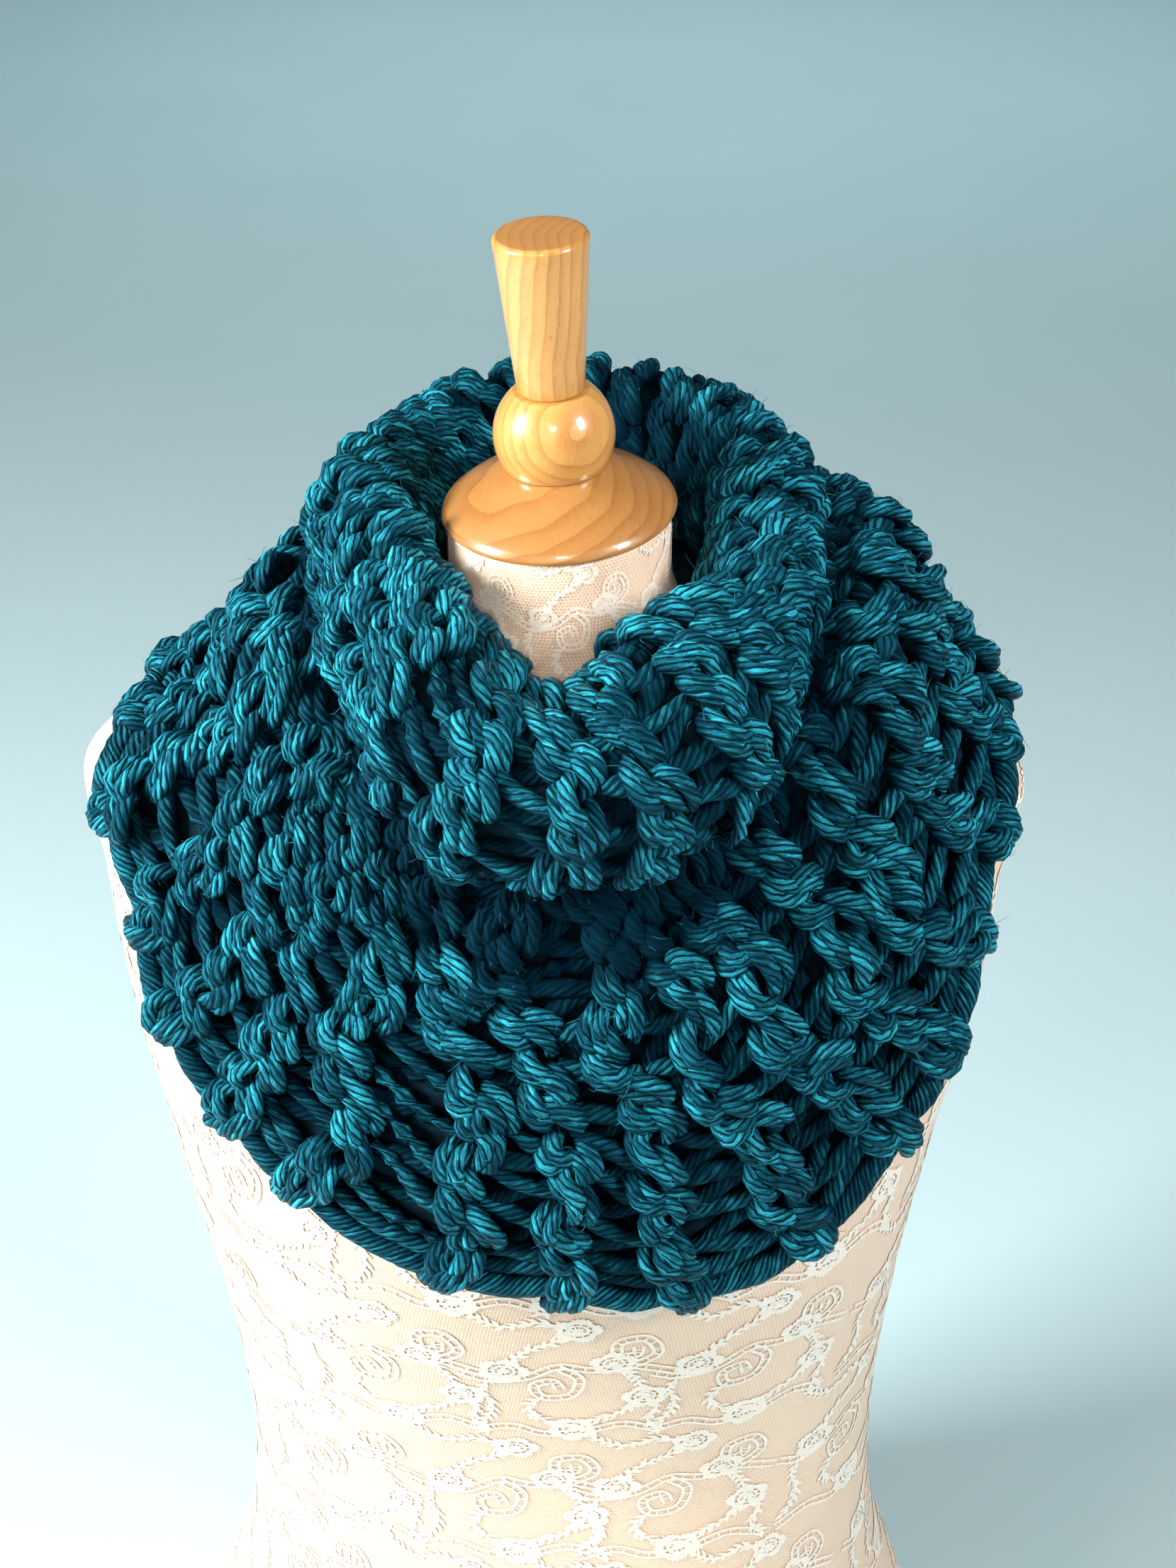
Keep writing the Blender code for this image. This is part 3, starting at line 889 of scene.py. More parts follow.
@dataclass(frozen=True)
class FuzzFinish:
    """The fine loose fibres that stand off the wool."""

    name: str = "wool fuzz"
    colour: Colour = (0.030, 0.320, 0.420)
    dark: Colour = (0.004, 0.110, 0.160)
    mottle_scale: float = 160.0
    mottle_span: Span = (0.35, 0.65)

    def build(self) -> bpy.types.Material:
        """Builds the finish.

        Returns:
            The material.
        """
        tree = Surface(self.name)
        share = tree.ramp(tree.noise(tree.place(), self.mottle_scale, 1.0), self.mottle_span)
        colour = tree.mix(share, self.dark, self.colour)
        return tree.close({"Base Color": colour, "Roughness": 0.55, "Specular IOR Level": 0.4})


@dataclass(frozen=True)
class BackingFinish:
    """The cloth's inside in painted shade, with the rows of its stitches' backs."""

    name: str = "wool inside painted shade"
    # both colours are painted shade, far darker than the wool, for the cloth seen deep between the stitches
    light: Colour = (0.001, 0.024, 0.040)
    dark: Colour = (0.0004, 0.008, 0.018)
    waves_a_rib: float = 4.0
    row_height: float = 6.0 * MM
    fuzz_scale: float = 700.0
    light_span: Span = (0.3, 1.2)
    depth: float = 1.2 * MM

    def build(self) -> bpy.types.Material:
        """Builds the finish. The cloth's map gives rib numbers across, and metres up it.

        Returns:
            The material.
        """
        tree = Surface(self.name)
        across, up, _ = tree.parts(tree.cloth())
        ribs = tree.math("SINE", tree.times(across, 2 * math.pi * self.waves_a_rib))
        rows = tree.math("SINE", tree.times(up, 2 * math.pi / self.row_height))
        weave = tree.times(tree.total(ribs, rows), 0.25)
        fuzz = tree.noise(tree.place(), self.fuzz_scale, 3.0)
        relief = tree.total(weave, 0.5, tree.times(fuzz, 0.5))
        return tree.close(
            {
                "Base Color": tree.mix(tree.ramp(relief, self.light_span), self.dark, self.light),
                "Normal": tree.relief(relief, 0.8, self.depth),
                "Roughness": 0.9,
                "Specular IOR Level": 0.15,
            }
        )


def net_group() -> bpy.types.NodeTree:
    """A shader group that gives the threads and holes of a fine hexagonal net.

    Returns:
        The group.
    """
    group = bpy.data.node_groups.new("Fine net", "ShaderNodeTree")
    group.interface.new_socket(name="Cloth", in_out="INPUT", socket_type="NodeSocketVector")
    group.interface.new_socket(name="Pitch", in_out="INPUT", socket_type="NodeSocketFloat")
    group.interface.new_socket(name="Thread", in_out="OUTPUT", socket_type="NodeSocketFloat")
    tree = Tree(group)
    given = tree.add("NodeGroupInput").outputs
    across, up, _ = tree.parts(given["Cloth"])
    wave = tree.math("DIVIDE", 4 * math.pi / math.sqrt(3), given["Pitch"])
    flat = tree.times(up, wave)
    half_up = tree.times(flat, 0.5)
    side = tree.times(tree.times(across, wave), math.sqrt(3) / 2)
    phases = (flat, tree.total(side, half_up), tree.math("SUBTRACT", side, half_up))
    holes = tree.total(*(tree.math("COSINE", phase) for phase in phases))
    tree.feed(tree.add("NodeGroupOutput").inputs["Thread"], tree.ramp(holes, (-1.2, 1.6), 1.0, 0.0))
    return group


@dataclass(frozen=True)
class NetFinish:
    """Cream net stretched over the form's padding."""

    net: bpy.types.NodeTree
    name: str = "cream net"
    thread: Colour = (0.91, 0.715, 0.555)
    padding: Colour = (0.75, 0.50, 0.335)
    pitch: float = 1.5 * MM
    cloud_scale: float = 14.0
    cloud_span: Span = (0.4, 0.8)
    cloud_share: float = 0.18
    depth: float = 0.25 * MM

    def build(self) -> bpy.types.Material:
        """Builds the finish. The cloth's map gives metres across and up it.

        Returns:
            The material.
        """
        tree = Surface(self.name)
        group = tree.add("ShaderNodeGroup", {"Cloth": tree.cloth(), "Pitch": self.pitch}, node_tree=self.net)
        thread = group.outputs["Thread"]
        clouds = tree.noise(tree.place(), self.cloud_scale, 2.0)
        clouds = tree.ramp(clouds, self.cloud_span, 0.0, self.cloud_share)
        return tree.close(
            {
                "Base Color": tree.mix(clouds, tree.mix(thread, self.padding, self.thread), self.padding),
                "Normal": tree.relief(thread, 0.5, self.depth),
                "Roughness": 0.7,
                "Sheen Weight": 0.15,
            }
        )


@dataclass(frozen=True)
class LaceFinish:
    """Off-white lace thread, worked close."""

    name: str = "off-white lace"
    bright: Colour = (0.95, 0.865, 0.76)
    shaded: Colour = (0.87, 0.755, 0.635)
    thread_scale: float = 1500.0
    thread_span: Span = (0.3, 0.6)
    depth: float = 0.2 * MM

    def build(self) -> bpy.types.Material:
        """Builds the finish.

        Returns:
            The material.
        """
        tree = Surface(self.name)
        threads = tree.noise(tree.place(), self.thread_scale, 2.0)
        return tree.close(
            {
                "Base Color": tree.mix(tree.ramp(threads, self.thread_span), self.shaded, self.bright),
                "Normal": tree.relief(threads, 0.6, self.depth),
                "Roughness": 0.65,
            }
        )


@dataclass(frozen=True)
class WoodFinish:
    """Clear-lacquered honey wood with growth rings, pores and an amber depth."""

    name: str
    pale: Colour = (0.71, 0.38, 0.108)
    amber: Colour = (0.53, 0.22, 0.047)
    pore: Colour = (0.33, 0.115, 0.025)
    # growth rings lie round a line that these two place
    ring_turn: Point = (0.0, 0.0, 0.0)
    ring_centre: Point = (0.0, 0.03, 0.0)
    ring_width: float = 4.5 * MM
    ring_sway: float = 7.0 * MM
    ring_edge: float = 2.6
    # how much of their width the streaks and pores keep along the line
    streak_stretch: float = 0.035
    pore_stretch: float = 0.10
    # what the rings, streaks and broad clouds add to the amber
    ring_share: float = 0.40
    streak_share: float = 0.42
    cloud_share: float = 0.35
    amber_span: Span = (0.22, 0.92)
    pore_span: Span = (0.66, 0.74)
    pore_share: float = 0.42
    # darker on faces that point up, as on the handle's flat top
    top_span: Span = (0.90, 0.98)
    top_darkening: float = 0.0

    def build(self) -> bpy.types.Material:
        """Builds the finish.

        Returns:
            The material.
        """
        tree = Surface(self.name)
        moved = {"Vector": tree.place(), "Location": self.ring_centre, "Rotation": self.ring_turn}
        at = tree.add("ShaderNodeMapping", moved).outputs[0]
        x, y, z = tree.parts(at)
        radius = tree.math("SQRT", tree.total(tree.times(x, x), tree.times(y, y)))
        swayed = tree.total(radius, tree.times(tree.noise(at, 24.0, 2.0), self.ring_sway))
        ring = tree.math("FRACT", tree.math("DIVIDE", swayed, self.ring_width))
        line = tree.math("POWER", ring, self.ring_edge)
        streaks = tree.noise(tree.vector(x, y, tree.times(z, self.streak_stretch)), 900.0, 3.0, 0.6)
        pores = tree.noise(tree.vector(x, y, tree.times(z, self.pore_stretch)), 1500.0, 1.0)
        share = tree.total(
            tree.times(line, self.ring_share),
            tree.times(streaks, self.streak_share),
            tree.times(tree.noise(at, 38.0, 2.0), self.cloud_share),
        )
        colour = tree.mix(tree.ramp(share, self.amber_span), self.pale, self.amber)
        colour = tree.mix(tree.times(tree.ramp(pores, self.pore_span), self.pore_share), colour, self.pore)
        # darker on faces that point up
        ends = tree.ramp(tree.parts(tree.normal())[2], self.top_span, 0.0, self.top_darkening)
        return tree.close(
            {
                "Base Color": tree.mix(ends, colour, self.pore),
                "Roughness": 0.34,
                "Coat Weight": 1.0,
                "Coat Roughness": 0.06,
                "Coat IOR": 1.5,
            }
        )


# ---- Meshes ----
def link_object(
    name: str, mesh: bpy.types.Mesh, material: bpy.types.Material | None = None
) -> bpy.types.Object:
    """Puts a mesh in the scene, shaded smooth, with its material.

    Args:
        name: The object's name.
        mesh: Its mesh.
        material: Its finish, if it has none yet.

    Returns:
        The object.
    """
    if material:
        mesh.materials.append(material)
    made = bpy.data.objects.new(name, mesh)
    bpy.context.scene.collection.objects.link(made)
    mesh.shade_smooth()
    return made


def mesh_of(name: str, points: Array, faces: Array) -> bpy.types.Mesh:
    """A mesh from points and equal-sided faces.

    Args:
        name: The mesh's name.
        points: Its points.
        faces: A row of point numbers for each face.

    Returns:
        The mesh.
    """
    mesh = bpy.data.meshes.new(name)
    faces = np.asarray(faces, np.int32)
    mesh.vertices.add(len(points))
    mesh.vertices.foreach_set("co", np.asarray(points, np.float32).ravel())
    mesh.loops.add(faces.size)
    mesh.loops.foreach_set("vertex_index", faces.ravel())
    mesh.polygons.add(len(faces))
    mesh.polygons.foreach_set("loop_start", np.arange(len(faces), dtype=np.int32) * faces.shape[1])
    mesh.update(calc_edges=True)
    mesh.validate()
    return mesh


def grid_faces(columns: int, rows: int, start: int = 0, flip: bool = False) -> Array:
    """Quads of a grid that closes round its columns, whose points run row by row.

    Args:
        columns: Points in a row.
        rows: Number of rows.
        start: The first point's number.
        flip: Whether the faces turn the other way.

    Returns:
        A row of point numbers for each face.
    """
    row, column = np.meshgrid(np.arange(rows - 1), np.arange(columns), indexing="ij")
    beside = (column + 1) % columns
    low, high = row * columns, (row + 1) * columns
    quads = np.stack([low + column, low + beside, high + beside, high + column], axis=-1)
    quads = quads.reshape(-1, 4) + start
    return quads[:, ::-1] if flip else quads


def capped_faces(columns: int, rows: int, flip: bool = False) -> Array:
    """Triangles of stacked rings that fans close at both ends.

    Args:
        columns: Points in a ring.
        rows: Number of rings.
        flip: Whether the faces turn the other way.

    Returns:
        Faces between points that run ring by ring, then the first ring's middle and the last one's.
    """
    quads = grid_faces(columns, rows, flip=flip)
    column = np.arange(columns)
    beside = (column + 1) % columns
    one, other = (column, beside) if flip else (beside, column)
    first, last = np.full(columns, rows * columns), (rows - 1) * columns
    fans = [np.stack([one, other, first], axis=-1), np.stack([last + other, last + one, first + 1], axis=-1)]
    return np.concatenate([quads[:, [0, 1, 2]], quads[:, [0, 2, 3]], *fans])


def corner_points(mesh: bpy.types.Mesh) -> Array:
    """The point that each face corner of a mesh lies at.

    Args:
        mesh: The mesh.

    Returns:
        A point number for each corner.
    """
    corners = np.zeros(len(mesh.loops), np.int32)
    mesh.loops.foreach_get("vertex_index", corners)
    return corners


def write_uv(mesh: bpy.types.Mesh, name: str, values: Array) -> None:
    """Writes a UV map from one pair for each face corner."""
    layer = mesh.uv_layers.new(name=name)
    layer.data.foreach_set("uv", np.asarray(values, np.float32).ravel())


@dataclass
class Strands:
    """Lines of yarn: points, how proud each lies less the depth of its painted shade, its way out and its
    radius, and a tone for each line.
    """

    lines: Array
    proud_less_shade: Array
    outs: Array
    thick: Array
    tone: Array
    plies: int = 7

    @classmethod
    def drawn(
        cls, controls: Array, proud_less_shade: Array, outs: Array, thick: Array, tone: Array, plies: int = 7
    ) -> "Strands":
        """Smooth strands with a point for each entry of thick.

        Args:
            controls: Control points of each strand.
            proud_less_shade: How far each lies over the cloth's face, less the depth of the shade painted
                there.
            outs: The cloth's normal at each.
            thick: Radii along each strand.
            tone: One tone for each strand.
            plies: Plies round a strand.

        Returns:
            The strands.
        """
        lines = smooth_lines(np.concatenate([controls, proud_less_shade[..., None], outs], axis=-1), thick.shape[-1])
        return cls(lines[..., :3], lines[..., 3], unit(lines[..., 4:]), thick, tone, plies)

    @staticmethod
    def tapered(count: int, ends: float) -> Array:
        """Shares of a strand's thickness along it, thinner at its ends."""
        at = np.linspace(0, 1, count)
        return ends + (1 - ends) * np.clip(np.sin(math.pi * at) * 2.2, 0, 1)


class YarnSpinner:
    """Turns strands into yarn or fibres: a Geometry Nodes tree sweeps a lobed, twisting section along."""

    SEED = 11
    # heights over the cloth, less painted shade, across which the wool's painted shade on low strands fades
    # out
    PROUD_FROM = -5.0 * MM
    PROUD_SPAN = 10.0 * MM
    ALONG_SHIFT = 10

    def __init__(self, sides: int = 10, groove: float = 0.05, twist: float = -200.0) -> None:
        """Builds the tree.

        Args:
            sides: Sides of the section. Every second corner is drawn in, so that it has lobes.
            groove: How far they are drawn in, as a share of the yarn's radius.
            twist: Turn of the lobes in radians per metre.
        """
        self.sides, self.groove, self.twist = sides, groove, twist
        self.tree = self._tree()
        self.random = np.random.default_rng(self.SEED)

    def _tree(self) -> bpy.types.NodeTree:
        """The tree, with named inputs for the yarn's make-up.

        Returns:
            The tree.
        """
        group = bpy.data.node_groups.new("Spun yarn", "GeometryNodeTree")
        sockets = (
            ("Geometry", "INPUT", "NodeSocketGeometry"),
            ("Sides", "INPUT", "NodeSocketInt"),
            ("Groove", "INPUT", "NodeSocketFloat"),
            ("Material", "INPUT", "NodeSocketMaterial"),
            ("Geometry", "OUTPUT", "NodeSocketGeometry"),
        )
        for name, way, kind in sockets:
            group.interface.new_socket(name=name, in_out=way, socket_type=kind)
        tree = Tree(group)
        given = tree.add("NodeGroupInput").outputs
        curve = tree.add("GeometryNodeMeshToCurve", {"Mesh": given["Geometry"]}).outputs[0]
        thick, turn = (
            tree.add("GeometryNodeInputNamedAttribute", {"Name": label}, data_type="FLOAT").outputs[0]
            for label in ("thick", "turn")
        )
        curve = tree.add("GeometryNodeSetCurveRadius", {"Curve": curve, "Radius": thick}).outputs[0]
        curve = tree.add("GeometryNodeSetCurveTilt", {"Curve": curve, "Tilt": turn}).outputs[0]
        circle = {"Resolution": given["Sides"], "Radius": 1.0}
        section = tree.add("GeometryNodeCurvePrimitiveCircle", circle).outputs[0]
        place = tree.add("GeometryNodeInputPosition").outputs[0]
        odd = tree.math("MODULO", tree.add("GeometryNodeInputIndex").outputs[0], 2.0)
        inwards = tree.times(tree.times(odd, given["Groove"]), -1.0)
        offset = tree.add("ShaderNodeVectorMath", {0: place, "Scale": inwards}, operation="SCALE").outputs[0]
        kept = {"Geometry": section, "Name": "around", "Value": place}
        section = tree.add("GeometryNodeStoreNamedAttribute", kept, data_type="FLOAT_VECTOR").outputs[0]
        section = tree.add("GeometryNodeSetPosition", {"Geometry": section, "Offset": offset}).outputs[0]
        swept = {"Curve": curve, "Profile Curve": section, "Fill Caps": True}
        sweep = tree.add("GeometryNodeCurveToMesh", swept)
        if "Scale" in sweep.inputs:
            tree.feed(sweep.inputs["Scale"], thick)
        whole = tree.add("GeometryNodeRealizeInstances", {"Geometry": sweep.outputs[0]}).outputs[0]
        dressed = {"Geometry": whole, "Material": given["Material"]}
        tree.feed(
            tree.add("NodeGroupOutput").inputs[0],
            tree.add("GeometryNodeSetMaterial", dressed).outputs[0],
        )
        return group

    def _make_up(self, batch: Strands) -> dict[str, Array]:
        """What the tree and the wool's finish read at each point of a batch's strands.

        Args:
            batch: The strands.

        Returns:
            Values at the points, by attribute.
        """
        count, steps, _ = batch.lines.shape
        run = run_length(batch.lines)
        phase = self.random.uniform(0, 2 * math.pi, (count, 1))
        return {
            "thick": np.broadcast_to(batch.thick, (count, steps)),
            "tone": np.repeat(batch.tone, steps),
            "turn": run * self.twist + phase,
            "along": run + phase * self.ALONG_SHIFT * MM,
            # near 0 where a strand lies low or in the painted tuck and back shade; the wool paints shade
            # there
            "height_less_shade": np.clip((batch.proud_less_shade - self.PROUD_FROM) / self.PROUD_SPAN, 0, 1),
            "plies": np.full(count * steps, float(batch.plies)),
            "out": batch.outs,
        }

    def _lines(self, name: str, batches: list[Strands]) -> bpy.types.Object:
        """An object of the strands' plain lines, which keep their make-up.

        Args:
            name: The piece's name.
            batches: The strands.

        Returns:
            The object.
        """
        edges, start = [], 0
        for batch in batches:
            count, steps, _ = batch.lines.shape
            index = start + np.arange(count * steps).reshape(count, steps)
            edges.append(np.stack([index[:, :-1], index[:, 1:]], axis=-1).reshape(-1, 2))
            start += count * steps
        mesh = bpy.data.meshes.new(name + "_lines")
        points = np.concatenate([batch.lines.reshape(-1, 3) for batch in batches])
        mesh.from_pydata(points, np.concatenate(edges), [])
        made = [self._make_up(batch) for batch in batches]
        for label in made[0]:
            kind, slot = ("FLOAT_VECTOR", "vector") if label == "out" else ("FLOAT", "value")
            values = np.concatenate([part[label].ravel() for part in made])
            mesh.attributes.new(label, kind, "POINT").data.foreach_set(slot, values.astype(np.float32))
        lines = bpy.data.objects.new(name + "_lines", mesh)
        bpy.context.scene.collection.objects.link(lines)
        return lines

    def spin(self, name: str, batches: list[Strands], material: bpy.types.Material) -> bpy.types.Object:
        """Sweeps strands into one plain mesh object.

        Args:
            name: The piece's name.
            batches: The strands.
            material: The yarn's finish.

        Returns:
            The finished piece.
        """
        lines = self._lines(name, batches)
        modifier = lines.modifiers.new("Spin", "NODES")
        modifier.node_group = self.tree
        given = {"Sides": self.sides, "Groove": self.groove, "Material": material}
        for item in self.tree.interface.items_tree:
            if item.in_out == "INPUT" and item.name in given:
                modifier[item.identifier] = given[item.name]
        graph = bpy.context.evaluated_depsgraph_get()
        swept = bpy.data.meshes.new_from_object(lines.evaluated_get(graph))
        bpy.data.objects.remove(lines)
        return link_object(name, swept)


class Quarter(Enum):
    """The four runs of ribs that the stitches are kept in, each with its first rib."""

    FRONT_RIGHT = 0
    FRONT_LEFT = 7
    BACK_LEFT = 14
    BACK_RIGHT = 21

    @property
    def ribs(self) -> range:
        """The quarter's rib numbers."""
        return range(self.value, self.value + RIBS // 4)

    @property
    def label(self) -> str:
        """The quarter's name for its pieces."""
        return self.name.lower()


@dataclass
class CrochetStitches:
    """The scarf's stitches: knots that pile up into ribs, posts between the ribs, and the hem's edge."""

    surface: ScarfSurface
    seed: int = 23
    knot_yarn: float = 3.55 * MM
    post_yarn: float = 3.6 * MM
    hem_yarn: float = 3.8 * MM
    pitch: float = 17.4 * MM
    first: float = 7.0 * MM
    full_spacing: float = 31.0 * MM
    knot_widths: Span = (0.5, 1.12)
    edge_margin: float = 5.0 * MM
    # how far the shade painted in the tuck and inside the roll behind the neck lowers the height that the
    # wool's painted shade reads; the stitches don't move
    shade_depth: float = 13.0 * MM
    # how knots differ: in size across, down and out, in slant, and in millimetres across and down
    knot_spread: Point = (0.13, 0.10, 0.17)
    knot_slant: float = 0.17
    knot_shift: Span = (1.1, 1.6)
    knot_steps: int = 9
    knot_ends: float = 0.68
    knot_range: Span = (0.90, 1.10)
    rib_shift: float = 3.0
    # a knot's two strands: the angle of their step apart, then millimetres apart and in depth
    twin_slant: float = 0.40
    twin_apart: Span = (1.9, 2.8)
    twin_drop: float = 1.2
    jitter: float = 0.40
    # a nub's strands: millimetres from its middle, how that narrows along them, how far the outer ones sink
    nub_apart: Point = (-3.8, 0.0, 3.8)
    nub_widths: tuple[float, ...] = (0.7, 1.0, 1.0, 1.0, 0.9, 0.7)
    nub_sink: float = 0.3
    nub_spread: float = 0.08
    # posts: pinch of each pair, drift from rib to rib with its sway, depth of every second one, and how the
    # drift, up and depth differ, in millimetres; then how their thickness differs and swells
    post_step: float = 8.8 * MM
    post_steps: int = 8
    post_lift: float = 4.0 * MM
    post_pinch: Span = (3.4, 7.0)
    post_drift: Span = (4.5, 6.5)
    post_sway: float = 27.0 * MM
    post_under: float = -3.0
    post_waver: Point = (1.5, 0.7, 0.8)
    post_range: Span = (0.86, 1.12)
    post_spindle: Span = (0.74, 0.46)
    post_inset: float = 5.5 * MM
    inset_shares: Span = (0.08, 0.3)
    # along a post: how it rises onto its knots, and how its depth tells
    post_rise: tuple[float, ...] = (0.9, 0.0, 0.0, 0.0, 0.9)
    post_sink: tuple[float, ...] = (0.5, 0.9, 1.0, 0.9, 0.5)
    # the hem's lower and upper rope: up, fan, bow and out in millimetres, size and plies
    hem_ropes: tuple[tuple[float, ...], ...] = (
        (2.2, 0.4, -1.6, -0.6, 1.45, 11),
        (10.6, 3.0, 0.64, -1.6, 1.1, 8),
    )
    hem_steps: int = 16
    hem_proud: float = 1.5 * MM
    hem_waver: float = 0.35
    hem_swell: Point = (0.72, 0.34, 0.7)
    # the share of a rib's spacing where a rope starts, and its length
    hem_run: Span = (0.04, 0.92)
    # loose fibres: lengths, lifts and wander in millimetres, their pull outwards, the depth of their roots as
    # a share of the strand's radius, and their shares of the width along them
    fibres: int = 3200
    fibre_width: float = 0.13 * MM
    fibre_lengths: Span = (2.5, 6.5)
    fibre_lifts: Span = (0.5, 2.6)
    fibre_wander: float = 0.9
    fibre_pull: float = 1.3
    fibre_upwards: float = 0.6
    fibre_root: float = 0.93
    fibre_taper: tuple[float, ...] = (1.0, 0.9, 0.7, 0.4)
    # across, towards the hem, out, in millimetres
    left_knot: tuple[Point, ...] = (
        (-1.0, -10.0, -4.5),
        (-4.6, -7.4, 1.2),
        (-6.4, -2.8, 5.0),
        (-4.8, 2.4, 6.3),
        (-1.2, 6.6, 3.6),
        (1.2, 9.4, -3.6),
    )
    right_knot: tuple[Point, ...] = (
        (-2.6, -9.4, -3.6),
        (0.2, -7.0, 3.0),
        (3.8, -3.0, 6.3),
        (6.2, 2.0, 5.3),
        (5.6, 6.8, 1.4),
        (2.0, 9.8, -4.4),
    )
    nub: tuple[Point, ...] = (
        (4.4, -12.5, -1.5),
        (3.4, -7.0, 4.4),
        (1.2, -1.6, 6.0),
        (-1.6, 3.6, 3.6),
        (-2.8, 5.4, -1.6),
        (-2.0, 1.5, -5.0),
    )

    def _stitch_ups(self, rib: int) -> Array:
        """Ups of a rib's stitches."""
        room = float(self.surface.length(np.array(rib % RIBS))) - self.first - self.edge_margin
        return self.first + self.pitch * np.arange(int(room / self.pitch) + 1)

    def _laid(self, ribs: Array, ups: Array, local: Array) -> tuple[Array, Array, Array]:
        """Local control points (across, towards the hem, out) laid on the cloth.

        Args:
            ribs: The rib of each stitch.
            ups: The up of each stitch.
            local: Control points of each, in metres from there.

        Returns:
            The points in space, how far over the cloth each lies less the depth of its painted shade, and the
            cloth's normals.
        """
        at = ups[:, None] - local[..., 1]
        ribs = np.broadcast_to(ribs[:, None], at.shape)
        points, across, _, normals = self.surface.frames(ribs, at)
        wide = np.clip(self.surface.spacing(ribs, np.maximum(at, 0)) / self.full_spacing, *self.knot_widths)
        out = local[..., 2]
        out = np.where(out > 0, out * self.surface.relief(ribs, np.maximum(at, 0)), out)
        points = points + (local[..., 0] * wide)[..., None] * across + out[..., None] * normals
        # the height less the depth of the shade painted in the tuck and behind the neck
        return points, out - self.shade_depth * self.surface.shade(ribs, np.maximum(at, 0)), normals

    def _twin(self, shape: tuple[Point, ...], count: int, rng: np.random.Generator) -> Array:
        """Two strands side by side along a knot's line, for each of count knots, each a little different.

        Args:
            shape: The knot's line, in millimetres.
            count: Number of knots.
            rng: Random source.

        Returns:
            Control points, as knots by two by points by three.
        """
        line = np.broadcast_to(np.array(shape) * MM, (count, len(shape), 3)).copy()
        across, down, out = (line[..., axis] for axis in range(3))
        wide, long, high = self.knot_spread
        across *= rng.normal(1.0, wide, (count, 1))
        down *= rng.normal(1.0, long, (count, 1))
        out[...] = np.where(out > 0, out * rng.normal(1.0, high, (count, 1)), out)
        slant = rng.normal(0, self.knot_slant, (count, 1))
        across += slant * down + rng.normal(0, self.knot_shift[0], (count, 1)) * MM
        down += rng.normal(0, self.knot_shift[1], (count, 1)) * MM
        half = rng.uniform(*self.twin_apart, (count, 1, 1)) * MM
        side = np.array([math.cos(self.twin_slant), -math.sin(self.twin_slant), 0.0]) * half
        drop = rng.uniform(-self.twin_drop, self.twin_drop, (count, 1, 1)) * MM * np.array([0.0, 0.0, 1.0])
        made = np.stack([line - side - drop, line + side + drop], axis=1)
        return made + rng.normal(0, self.jitter, made.shape) * MM

    def rib_strands(self, quarter: Quarter) -> list[Strands]:
        """The knots of a quarter's ribs, with the nubs in which they end at the hem.

        Args:
            quarter: The quarter.

        Returns:
            Its strands.
        """
        rng = np.random.default_rng(self.seed + quarter.value)
        batches = []
        for rib in quarter.ribs:
            ups = self._stitch_ups(rib) + rng.uniform(-self.rib_shift, self.rib_shift) * MM
            for shape, shift in ((self.left_knot, 0.0), (self.right_knot, -self.pitch / 2)):
                at = ups + shift
                at = at[at > 2 * MM] if shift else at
                local = self._twin(shape, len(at), rng).reshape(len(at) * 2, len(shape), 3)
                batches.append(self._batch(rib, np.repeat(at, 2), local, rng))
            batches.append(self._nub(rib, rng))
        return batches

    def _nub(self, rib: int, rng: np.random.Generator) -> Strands:
        """The rounded end of a rib at the hem.

        Args:
            rib: Rib number.
            rng: Random source.

        Returns:
            Its strands.
        """
        line = np.array(self.nub) * MM
        sides = np.array(self.nub_apart)[:, None] * MM
        local = np.broadcast_to(line, (len(sides), *line.shape)).copy()
        local[..., 0] += sides * rng.normal(1, self.nub_spread) * np.array(self.nub_widths)
        local[..., 2] -= np.abs(sides) * self.nub_sink
        local += rng.normal(0, self.jitter, local.shape) * MM
        return self._batch(rib, np.zeros(len(local)), local, rng)

    def _batch(self, rib: int, ups: Array, local: Array, rng: np.random.Generator) -> Strands:
        """A rib's strands from local control points, with their thickness and tone.

        Args:
            rib: Rib number.
            ups: Each strand's up.
            local: Control points about it.
            rng: Random source.

        Returns:
            The strands.
        """
        points, proud_less_shade, outs = self._laid(np.full(len(local), float(rib)), ups, local)
        taper = Strands.tapered(self.knot_steps, self.knot_ends)
        thick = self.knot_yarn * rng.uniform(*self.knot_range, (len(points), 1)) * taper
        return Strands.drawn(points, proud_less_shade, outs, thick, rng.uniform(0, 1, len(points)))

    def post_strands(self, quarter: Quarter) -> list[Strands]:
        """The posts between a quarter's ribs and the next rib on, with the hem's edge between the nubs.

        Args:
            quarter: The quarter.

        Returns:
            Its strands.
        """
        rng = np.random.default_rng(self.seed + 100 + quarter.value)
        batches = []
        for rib in quarter.ribs:
            batches.append(self._posts(rib, rng))
            batches += self._hem_edge(rib, rng)
        return batches

